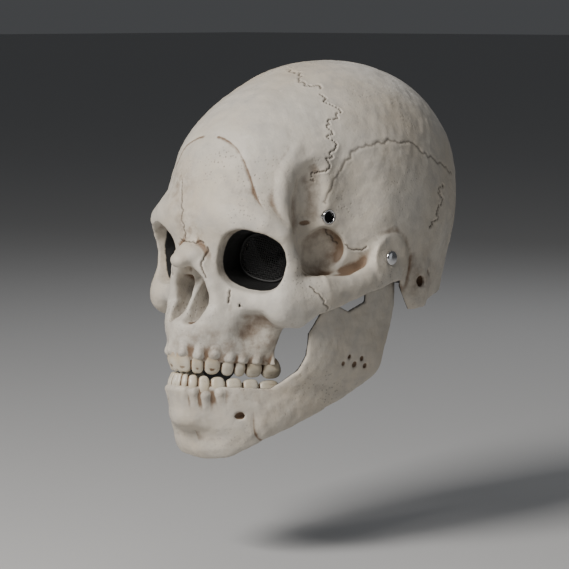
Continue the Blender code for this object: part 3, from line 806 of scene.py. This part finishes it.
def form_mesh(name, form, single=True):
    """The mesh of a form and its mirror image, in the place of the solids."""
    x, y, z = form.axes
    value = form.value
    value[np.abs(value) < form.cell / 50] = form.cell / 50
    both_sides = np.concatenate((-x[::-1], x))
    points, faces = surface((both_sides, y, z), np.concatenate((value[::-1], value)))
    if single:
        points, faces = main_island(points, faces)
    mesh = bpy.data.meshes.new(name)
    mesh.from_pydata((points - (0, 0, CROWN)).tolist(), [], faces.tolist())
    mesh.shade_smooth()
    return mesh, points


def set_values(mesh, name, values):
    layer = mesh.attributes.get(name) or mesh.attributes.new(name, "FLOAT", "POINT")
    layer.data.foreach_set("value", np.asarray(values, dtype=np.float32))


def vector_rows(items, name):
    """A row of x, y, z for each of a mesh's items."""
    flat = np.empty(3 * len(items), dtype=np.float32)
    items.foreach_get(name, flat)
    return flat.reshape(-1, 3).astype(float)


def mesh_points(mesh):
    return vector_rows(mesh.vertices, "co")


def move_points(mesh, points):
    mesh.vertices.foreach_set("co", points.astype(np.float32).ravel())
    mesh.update()


def dense_line(row, side, tree):
    """Close points along a zigzag line laid on the surface."""
    name, seen, sides, width, depth, zigzag, corners = row
    across, up = {"side": (1, 2), "top": (0, 1), "front": (0, 2)}[seen]
    path = np.array(corners) * SIZE[[across, up]]
    lengths = np.concatenate(((0,), np.cumsum(np.linalg.norm(np.diff(path, axis=0), axis=1))))
    places = np.arange(0, lengths[-1], LINE_STEP)
    smooth = np.ones(LINE_SMOOTHING) / LINE_SMOOTHING
    columns = []
    for column in path.T:
        padded = np.pad(np.interp(places, lengths, column), LINE_SMOOTHING // 2, mode="edge")
        columns.append(np.convolve(padded, smooth, "valid"))
    line = np.stack(columns, axis=1)
    along = np.gradient(line, axis=0)
    normal = np.stack((-along[:, 1], along[:, 0]), axis=1)
    normal /= np.linalg.norm(normal, axis=1)[:, None]
    seed = sum(map(ord, name)) + side
    run = np.stack((places, np.zeros_like(places), np.zeros_like(places)), axis=1)
    sway = sum(share * ripple(run, length, seed + n) for n, (length, share) in enumerate(LINE_SWAY))
    line = line + normal * sway[:, None] * zigzag / 1000
    if across == 0:
        line[:, 0] *= side
    found = []
    for u, v in line:
        origin, ray = {
            "side": ((side, u, v - CROWN), (-side, 0, 0)),
            "top": ((u, v, 1), (0, 0, -1)),
            "front": ((u, -1, v - CROWN), (0, 1, 0)),
        }[seen]
        hit = tree.ray_cast(Vector(origin), Vector(ray))[0]
        if hit is not None:
            found.append(hit)
    return found


def line_points(tree):
    """Every line's points, with its width and depth."""
    found = []
    for row in LINES:
        sides = (1, -1) if row[2] == 2 else (1,)
        for side in sides:
            found += [(point, row[3] / 1000, row[4] / 1000) for point in dense_line(row, side, tree)]
    return found


def line_reach(points, lines):
    """Distance from each point to the nearest line, and that line's width and depth."""
    tree = kdtree.KDTree(len(lines))
    for number, (place, width, depth) in enumerate(lines):
        tree.insert(place, number)
    tree.balance()
    away = np.full(len(points), LINE_REACH * 2)
    width = np.full(len(points), 1e-3)
    depth = np.zeros(len(points))
    for n, point in enumerate(points):
        place, number, distance = tree.find(point)
        if distance < LINE_REACH:
            away[n] = distance
            width[n], depth[n] = lines[number][1:]
    return away, width, depth


def split_near(mesh, near):
    """Halves the edges whose two ends are both marked."""
    shape = bmesh.new()
    shape.from_mesh(mesh)
    shape.verts.ensure_lookup_table()
    marked = set(np.flatnonzero(near).tolist())
    edges = [e for e in shape.edges if e.verts[0].index in marked and e.verts[1].index in marked]
    bmesh.ops.subdivide_edges(shape, edges=edges, cuts=1, use_grid_fill=True)
    shape.to_mesh(mesh)
    shape.free()


def thin_out(thing, triangles):
    """Collapses the flattest faces first, and applies the result."""
    total = sum(len(face.vertices) - 2 for face in thing.data.polygons)
    if total <= triangles:
        return
    step = thing.modifiers.new("thin", "DECIMATE")
    step.ratio = triangles / total
    step.use_collapse_triangulate = True
    graph = bpy.context.evaluated_depsgraph_get()
    mesh = bpy.data.meshes.new_from_object(thing.evaluated_get(graph))
    thing.modifiers.clear()
    thing.data = mesh


def add_piece(name, mesh, material, body, *nodes):
    thing = bpy.data.objects.new(name, mesh)
    bpy.context.scene.collection.objects.link(thing)
    mesh.materials.clear()
    mesh.materials.append(material)
    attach(thing, body)
    if nodes:
        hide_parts(*nodes)
    return thing


def blotches(points, rows):
    total = np.zeros(len(points))
    for x, y, z, radius, strength in rows:
        away = np.linalg.norm(points - np.array((x, y, z)) * SIZE, axis=1) / (radius * HALF_WIDTH)
        total += strength * np.exp(-away * away)
    return total


def bone_skin(name, form, material, body, node, triangles, lines_wanted):
    """A cast bone skin: carved lines, hand-worn waviness, and values for its paint and for its painted
    shade.
    """
    mesh, points = form_mesh(name, form)
    if lines_wanted:
        shape = bmesh.new()
        shape.from_mesh(mesh)
        tree = BVHTree.FromBMesh(shape)
        shape.free()
        lines = line_points(tree)
        split_near(mesh, line_reach(mesh_points(mesh), lines)[0] < LINE_SPLIT)
    world = mesh_points(mesh)
    normals = vector_rows(mesh.vertex_normals, "vector")
    points = world + (0, 0, CROWN)
    solid = form.sample(form.solid, points)
    outer = step_between(-0.6 * WALL, -0.25 * WALL, solid)
    fine = form.sample(form.hollows(0.0015), points) / 0.0010
    # Painted shade: broad hollows such as the temple are darkened as shade would darken them
    broad_painted_shade = form.sample(form.hollows(0.0050), points) / 0.0040
    crack = np.zeros(len(world))
    lift = np.zeros(len(world))
    if lines_wanted:
        away, width, depth = line_reach(world, lines)
        share = away / width
        crack = np.exp(-((share / 0.55) ** 2)) * np.minimum(depth / 0.0008, 1) * outer
        lift -= depth * crack
        lift += 0.30 * depth * np.exp(-(((share - 1.5) / 0.7) ** 2)) * outer
    for length, height, seed in SKIN_WAVES:
        lift += outer * height * ripple(world, length, seed)
    near, depth = eye_place((np.abs(points[:, 0]), points[:, 1], points[:, 2]))
    edge = near / eye_narrowing(depth)
    black = step_between(1.075, 1.02, edge) * step_between(-0.006, -0.001, depth) * outer
    black = black * step_between(2.5 * SCREEN_DEPTH, 1.2 * SCREEN_DEPTH, depth)
    move_points(mesh, world + normals * lift[:, None])
    # cavity: brown wash in the fine creases plus painted shade in the broad hollows
    set_values(mesh, "cavity", 1.4 * fine + 0.4 * broad_painted_shade)
    set_values(mesh, "crack", crack)
    set_values(mesh, "black", black)
    # The back of each nose recess is made darker, toward the inner grey, most at its deepest point
    dark = 0.58 * blotches(np.abs(points) * (1, -1, -1), NOSE_DARK)
    set_values(mesh, "inside", np.maximum(1 - outer, dark))
    set_values(mesh, "stain", blotches(points, STAINS) * outer)
    thing = add_piece(name, mesh, material, body, node)
    thin_out(thing, triangles)
    return thing


def tooth_piece(name, table, upper, material, body, node):
    form = shape_teeth(table, upper)
    mesh, points = form_mesh(name, form, single=False)
    world = mesh_points(mesh)
    points = world + (0, 0, CROWN)
    bite = bite_height(points[:, 1]) - (0 if upper else BITE_GAP)
    up = (points[:, 2] - bite) * (1 if upper else -1)
    set_values(mesh, "neck", step_between(0.45, 1.05, up / (0.155 * HALF_HEIGHT)))
    set_values(mesh, "cavity", 3 * form.sample(form.hollows(0.0010), points) / 0.0005)
    return add_piece(name, mesh, material, body, node)


# Materials


class Nodes:
    """Short way to wire up a material."""

    def __init__(self, name):
        self.material = bpy.data.materials.new(name)
        self.material.use_nodes = True
        self.tree = self.material.node_tree
        self.shader = self.tree.nodes["Principled BSDF"]
        self.coordinates = self.add("ShaderNodeTexCoord").outputs["Object"]

    def plug(self, value, socket):
        """Links a socket to a value, or sets it to a plain one."""
        if isinstance(value, bpy.types.NodeSocket):
            self.tree.links.new(value, socket)
        else:
            socket.default_value = value

    def add(self, kind, inputs=(), **settings):
        node = self.tree.nodes.new(kind)
        for key, value in settings.items():
            setattr(node, key, value)
        for key, value in dict(inputs).items():
            self.plug(value, node.inputs[key])
        return node

    def noise(self, scale, detail=3.0, roughness=0.55):
        inputs = {
            "Vector": self.coordinates, "Scale": scale, "Detail": detail, "Roughness": roughness,
        }
        return self.add("ShaderNodeTexNoise", inputs).outputs["Fac"]

    def cells(self, scale):
        inputs = {"Vector": self.coordinates, "Scale": scale}
        return self.add("ShaderNodeTexVoronoi", inputs).outputs["Distance"]

    def value(self, name):
        return self.add("ShaderNodeAttribute", attribute_name=name).outputs["Fac"]

    def ramp(self, value, low, high, start=0.0, end=1.0):
        inputs = {"Value": value, "From Min": low, "From Max": high, "To Min": start, "To Max": end}
        return self.add("ShaderNodeMapRange", inputs).outputs["Result"]

    def math(self, how, a, b, clamp=False):
        return self.add("ShaderNodeMath", {0: a, 1: b}, operation=how, use_clamp=clamp).outputs[0]

    def mix(self, factor, a, b):
        node = self.add("ShaderNodeMix", data_type="RGBA")
        self.plug(factor, node.inputs[0])
        for key, value in ((6, a), (7, b)):
            colour = value if isinstance(value, bpy.types.NodeSocket) else (*value, 1)
            self.plug(colour, node.inputs[key])
        return node.outputs[2]

    def bump(self, height, strength, distance):
        inputs = {"Height": height, "Strength": strength, "Distance": distance}
        return self.add("ShaderNodeBump", inputs).outputs["Normal"]

    def finish(self, **inputs):
        for key, value in inputs.items():
            self.plug(value, self.shader.inputs[key.replace("_", " ")])
        return self.material


def bone_material(name):
    nodes = Nodes(name)
    cloud = nodes.noise(14, 4)
    mottle = nodes.noise(95, 5, 0.62)
    grain = nodes.noise(620, 4, 0.6)
    pores = nodes.cells(430)
    patches = nodes.ramp(nodes.noise(22, 3), 0.50, 0.66)
    cavity = nodes.value("cavity")
    crack = nodes.value("crack")
    stain = nodes.value("stain")
    colour = nodes.mix(nodes.ramp(cloud, 0.35, 0.65), PALE_BONE, WARM_BONE)
    colour = nodes.mix(nodes.ramp(mottle, 0.42, 0.72, 0, 0.55), colour, GREY_BONE)
    pits = nodes.math("MULTIPLY", nodes.ramp(pores, 0.28, 0.10), patches)
    colour = nodes.mix(nodes.math("MULTIPLY", pits, 0.5), colour, DARK_WASH)
    # Darker in hollows: brown wash in the fine creases and painted shade in the broad hollows
    hollow_darkening = nodes.math("ADD", cavity, nodes.ramp(mottle, 0.35, 0.75, -0.10, 0.08))
    wash_and_shade = nodes.ramp(hollow_darkening, 0.03, 0.26, 0, 0.88)
    colour = nodes.mix(wash_and_shade, colour, BROWN_WASH_AND_SHADE)
    soak = nodes.math("MULTIPLY", stain, nodes.ramp(nodes.noise(130, 5, 0.65), 0.42, 0.68), clamp=True)
    colour = nodes.mix(nodes.math("MULTIPLY", soak, 0.85), colour, BROWN_WASH_AND_SHADE)
    colour = nodes.mix(nodes.ramp(crack, 0.08, 0.9, 0, 0.95), colour, DARK_WASH)
    ragged = nodes.math("ADD", nodes.value("black"), nodes.ramp(mottle, 0.3, 0.7, -0.15, 0.15))
    paint = nodes.ramp(ragged, 0.35, 0.6)
    colour = nodes.mix(paint, colour, BLACK_PAINT)
    inside = nodes.value("inside")
    colour = nodes.mix(nodes.ramp(inside, 0.3, 0.7), colour, INNER_GREY)
    rough = nodes.ramp(mottle, 0.3, 0.7, 0.48, 0.68)
    height = nodes.math("ADD", nodes.math("MULTIPLY", grain, 0.35), nodes.math("MULTIPLY", mottle, 0.9))
    height = nodes.math("SUBTRACT", height, nodes.math("MULTIPLY", pits, 0.7))
    return nodes.finish(
        Base_Color=colour, Roughness=rough, Normal=nodes.bump(height, 0.55, 0.0009), IOR=1.45
    )


def tooth_material(name):
    nodes = Nodes(name)
    mottle = nodes.noise(240, 5, 0.6)
    streak = nodes.noise(90, 3)
    colour = nodes.mix(nodes.ramp(streak, 0.35, 0.65), PALE_TOOTH, WARM_TOOTH)
    neck = nodes.math("MULTIPLY", nodes.value("neck"), nodes.ramp(mottle, 0.2, 0.7, 0.5, 1.0))
    colour = nodes.mix(nodes.math("MULTIPLY", neck, 0.75), colour, TOOTH_STAIN)
    hollow_darkening = nodes.math("ADD", nodes.value("cavity"), nodes.ramp(mottle, 0.3, 0.7, -0.15, 0.15))
    colour = nodes.mix(nodes.ramp(hollow_darkening, 0.02, 0.20, 0, 0.95), colour, BROWN_WASH_AND_SHADE)
    rough = nodes.ramp(mottle, 0.3, 0.7, 0.28, 0.45)
    return nodes.finish(
        Base_Color=colour, Roughness=rough, Normal=nodes.bump(mottle, 0.3, 0.0004), IOR=1.5
    )


def steel_material(name, roughness):
    nodes = Nodes(name)
    scratch = nodes.noise(900, 3)
    rough = nodes.ramp(scratch, 0.3, 0.7, roughness * 0.7, roughness * 1.5)
    colour = nodes.mix(nodes.ramp(nodes.noise(300, 3), 0.45, 0.75, 0, 0.35), STEEL, DULL_STEEL)
    return nodes.finish(Base_Color=colour, Roughness=rough, Metallic=1.0)


def thread_material(name):
    nodes = Nodes(name)
    fuzz = nodes.noise(2600, 3)
    colour = nodes.mix(nodes.ramp(fuzz, 0.3, 0.7), THREAD_DARK, THREAD_LIGHT)
    return nodes.finish(
        Base_Color=colour, Roughness=nodes.ramp(fuzz, 0.3, 0.7, 0.45, 0.7),
        Normal=nodes.bump(fuzz, 0.4, 0.0002),
    )


# Screens and fittings


def eye_frame(side):
    x, y, z = np.array(EYE) * SIZE
    place = Matrix.Translation((side * x, y, z - CROWN))
    turns = Matrix.Rotation(side * EYE_YAW, 4, "Z") @ Matrix.Rotation(-side * EYE_ROLL, 4, "Y")
    return place @ turns


def tube(shape, points, radius, sides, closed=False):
    """A round tube along points, with capped ends unless it is closed."""
    points = [Vector(p) for p in points]
    count = len(points)
    rings = []
    for n, point in enumerate(points):
        after = points[(n + 1) % count] if closed or n + 1 < count else point
        before = points[n - 1] if closed or n else point
        quat = (after - before).to_track_quat("Z", "Y")
        turns = (2 * math.pi * k / sides for k in range(sides))
        ring = [quat @ Vector((radius * math.cos(t), radius * math.sin(t), 0)) for t in turns]
        rings.append([shape.verts.new(point + v) for v in ring])
    pairs = list(zip(rings, rings[1:]))
    if closed:
        pairs.append((rings[-1], rings[0]))
    for a, b in pairs:
        for k in range(sides):
            shape.faces.new((a[k], a[(k + 1) % sides], b[(k + 1) % sides], b[k]))
    if not closed:
        shape.faces.new(rings[0][::-1])
        shape.faces.new(rings[-1])


def finished_mesh(name, shape):
    """The smooth mesh of a shape whose faces are all turned outwards."""
    bmesh.ops.recalc_face_normals(shape, faces=shape.faces)
    mesh = bpy.data.meshes.new(name)
    shape.to_mesh(mesh)
    shape.free()
    mesh.shade_smooth()
    return mesh


def eye_outline(scale, count):
    """Points round the eye opening's outline, in its own plane."""
    found = []
    for n in range(count):
        turn = 2 * math.pi * n / count
        across = math.copysign(abs(math.cos(turn)) ** (2 / EYE_SQUARE), math.cos(turn))
        up = math.copysign(abs(math.sin(turn)) ** (2 / EYE_SQUARE), math.sin(turn))
        found.append((across * EYE_HALF_WIDTH * scale, up * EYE_HALF_HEIGHT * scale))
    return found


def add_mesh_screen(side, word, material):
    """Two layers of wavy threads woven over and under each other, in a bound rim."""
    scale = 1 - EYE_TAPER - SCREEN_CLEARANCE / EYE_HALF_HEIGHT
    halves = (EYE_HALF_WIDTH * scale, EYE_HALF_HEIGHT * scale)
    depth = SCREEN_DEPTH - 2 * FIT_GAP - SCREEN_THICK / 2
    shape = bmesh.new()
    for axis in (0, 1):
        across, along = halves[axis], halves[1 - axis]
        reach = int(across / WIRE_PITCH)
        for row in range(-reach, reach + 1):
            offset = row * WIRE_PITCH
            share = abs(offset) / across
            half = along * (1 - share**EYE_SQUARE) ** (1 / EYE_SQUARE)
            steps = max(2, int(2 * half / WIRE_PITCH * 3))
            points = []
            for n in range(steps + 1):
                place = -half + 2 * half * n / steps
                wave = math.cos(math.pi * place / WIRE_PITCH) * (1 if (row + axis) % 2 else -1)
                point = [0, depth + WIRE_RADIUS * 0.9 * wave, 0]
                point[0 if axis else 2], point[2 if axis else 0] = place, offset
                points.append(point)
            tube(shape, points, WIRE_RADIUS, 5)
    rim = [(u, depth, v) for u, v in eye_outline(scale * 0.985, 72)]
    tube(shape, rim, RIM_RADIUS, 8, closed=True)
    shape.transform(eye_frame(side))
    mesh = finished_mesh("eye_mesh_" + word, shape)
    return add_piece("eye_mesh_" + word, mesh, material, "skull", "eye_screen_" + word)


def turned(name, profile, sides=48):
    """Mesh turned round +Z from rows of radius and height."""
    shape = bmesh.new()
    rings = []
    for radius, height in profile:
        if radius == 0:
            rings.append([shape.verts.new((0, 0, height))])
            continue
        turns = (2 * math.pi * n / sides for n in range(sides))
        ring = [(radius * math.cos(t), radius * math.sin(t), height) for t in turns]
        rings.append([shape.verts.new(place) for place in ring])
    closed = len(rings[0]) > 1
    for a, b in zip(rings, rings[1:] + rings[:1] * closed):
        for n in range(sides):
            corners = [a[n % len(a)], a[(n + 1) % len(a)], b[(n + 1) % len(b)], b[n % len(b)]]
            shape.faces.new(list(dict.fromkeys(corners)))
    mesh = finished_mesh(name, shape)
    mesh.set_sharp_from_angle(angle=math.radians(40))
    return mesh


def eyelet_frame(side, word):
    """Middle of the flanged tube's outer seat, and its outward axis, from the solid itself."""
    points = mesh_points(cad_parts["temple_eyelet_" + word].data)
    middle = (points.min(0) + points.max(0)) / 2
    axis = np.linalg.svd(points - points.mean(0), full_matrices=False)[2][2]
    axis *= math.copysign(1, axis[0] * side)
    along = (points - middle) @ axis
    return middle, axis, along.min(), along.max()


def facing(point, normal):
    return Matrix.Translation(point) @ Vector(normal).to_track_quat("Z", "Y").to_matrix().to_4x4()


def add_eyelet(side, word, material):
    """A flanged tube with a rolled lip on each face."""
    middle, axis, low, high = eyelet_frame(side, word)
    bore, head, barrel = EYELET_BORE / 2, EYELET_HEAD / 2, EYELET_BARREL / 2
    half = (head - bore) / 2
    turns = [math.pi * n / 8 for n in range(9)]
    roll = EYELET_LIP * 1.3
    top = [(bore + half - half * math.cos(t), high - roll + roll * math.sin(t)) for t in turns]
    under = [(bore + half + half * math.cos(t), low + roll - roll * math.sin(t)) for t in turns]
    profile = top + [(barrel, high - roll), (barrel, low + roll)] + under
    mesh = turned("eyelet_" + word, profile)
    mesh.transform(facing(middle, axis))
    return add_piece("eyelet_" + word, mesh, material, "skull", "temple_eyelet_" + word)


def add_rivet(side, word, material):
    """A domed rivet with a rounded shoulder, its shank and its inner cap."""
    head, shank, cap = RIVET_HEAD / 2, RIVET_SHANK / 2, RIVET_CAP / 2
    back = -2 * WALL - JAW_CLEARANCE - FIT_GAP
    turns = [math.pi / 2 * n / 10 for n in range(10)]
    seat = FIT_GAP + RIVET_RAISE
    dome = [(head * math.cos(t) ** 0.8, seat + RIVET_CROWN * math.sin(t)) for t in turns]
    profile = [
        (0, back - RIVET_CAP_THICK), (cap * 0.92, back - RIVET_CAP_THICK),
        (cap, back - RIVET_CAP_THICK / 2), (cap, back), (shank, back), (shank, seat),
        *dome, (0, seat + RIVET_CROWN),
    ]
    mesh = turned("rivet_" + word, profile)
    place = (side * HINGE_FACE, HINGE[0] * HALF_LENGTH, HINGE[1] * HALF_HEIGHT - CROWN)
    mesh.transform(facing(place, (side, 0, 0)))
    return add_piece("rivet_" + word, mesh, material, "skull", "jaw_rivet_" + word)


def add_light(name, place, aim, size, power, colour):
    lamp = bpy.data.lights.new(name, "AREA")
    lamp.energy = power
    lamp.size = size
    lamp.color = colour
    thing = bpy.data.objects.new(name, lamp)
    thing.location = place
    thing.rotation_euler = (Vector(place) - Vector(aim)).to_track_quat("Z", "Y").to_euler()
    bpy.context.scene.collection.objects.link(thing)


def add_camera():
    """The camera looks at the left side of the face from slightly above."""
    turn, lift = math.radians(CAMERA_AZIMUTH), math.radians(CAMERA_ELEVATION)
    right = Vector((math.cos(turn), math.sin(turn), 0))
    back = Vector((
        math.sin(turn) * math.cos(lift), -math.cos(turn) * math.cos(lift), math.sin(lift)
    ))
    up = back.cross(right)
    vault = Vector((0, 0, -CROWN))
    aim = vault - right * CAMERA_SHIFT_RIGHT - up * CAMERA_SHIFT_UP
    lens = bpy.data.cameras.new("camera")
    lens.sensor_width = 36
    lens.lens = 36 * CAMERA_DISTANCE / CAMERA_FRAME
    lens.clip_start = 0.05
    lens.clip_end = 100
    camera = bpy.data.objects.new("camera", lens)
    turns = Matrix((right, up, back)).transposed()
    camera.matrix_world = Matrix.Translation(aim + back * CAMERA_DISTANCE) @ turns.to_4x4()
    bpy.context.scene.collection.objects.link(camera)
    bpy.context.scene.camera = camera
    return aim, right, up, back


def add_stage(aim, right, up, back):
    material = bpy.data.materials.new("floor_paint")
    material.use_nodes = True
    shader = material.node_tree.nodes["Principled BSDF"]
    shader.inputs["Base Color"].default_value = (0.55, 0.55, 0.55, 1)
    shader.inputs["Roughness"].default_value = 0.8
    mesh = bpy.data.meshes.new("floor")
    half = 30.0
    corners = [(-half, -half, FLOOR), (half, -half, FLOOR), (half, half, FLOOR), (-half, half, FLOOR)]
    mesh.from_pydata(corners, [], [(0, 1, 2, 3)])
    mesh.materials.append(material)
    floor = bpy.data.objects.new("floor", mesh)
    bpy.context.scene.collection.objects.link(floor)
    for name, across, above, ahead, size, power, colour in LIGHTS:
        place = aim + right * across + up * above + back * ahead
        add_light(name, place, aim, size, power, colour)
    world = bpy.data.worlds.new("studio")
    world.use_nodes = True
    world.node_tree.nodes["Background"].inputs["Color"].default_value = (0.62, 0.64, 0.67, 1)
    world.node_tree.nodes["Background"].inputs["Strength"].default_value = 0.10
    bpy.context.scene.world = world


aim, right, up, back = add_camera()
add_stage(aim, right, up, back)

bone = bone_material("bone_cranium")
jaw_bone = bone_material("bone_jaw")
enamel = tooth_material("enamel_upper")
lower_enamel = tooth_material("enamel_lower")
steel = steel_material("polished_steel", 0.14)
thread = thread_material("black_thread")

cranium_form = shape_cranium()
middle, axis, low, high = eyelet_frame(1, "left")
middle = middle + (0, 0, CROWN)
cranium_form.bore(middle, axis, EYELET_BARREL / 2 + FIT_GAP, low - WALL, high + WALL)
cranium_form.bore(middle, axis, EYELET_HEAD / 2 + FIT_GAP, high - SEAT_DEPTH, high + WALL)
hinge = np.array((HINGE_FACE, HINGE[0] * HALF_LENGTH, HINGE[1] * HALF_HEIGHT))
across = np.array((1.0, 0.0, 0.0))
cranium_form.bore(hinge, across, RIVET_SHANK / 2 + FIT_GAP, -2 * WALL, 2 * WALL)
cranium_form.bore(hinge, across, RIVET_HEAD / 2 + 2 * FIT_GAP, RIVET_RAISE, 3 * WALL)
jaw_form = shape_jaw()
ear = -2 * WALL - JAW_CLEARANCE
jaw_form.bore(hinge, across, RIVET_SHANK / 2 + FIT_GAP, ear - WALL, 0)
jaw_form.bore(hinge, across, RIVET_CAP / 2 + 2 * FIT_GAP, ear - 2 * WALL, ear)

bone_skin("cranium_skin", cranium_form, bone, "skull", "cranium", SKIN_TRIANGLES, True)
bone_skin("jaw_skin", jaw_form, jaw_bone, "lower_jaw", "jaw", JAW_SKIN_TRIANGLES, False)
tooth_piece("upper_teeth", UPPER_TEETH, True, enamel, "skull", "cranium")
tooth_piece("lower_teeth", LOWER_TEETH, False, lower_enamel, "lower_jaw", "jaw")
for side, word in ((1, "left"), (-1, "right")):
    add_mesh_screen(side, word, thread)
    add_eyelet(side, word, steel)
    add_rivet(side, word, steel)
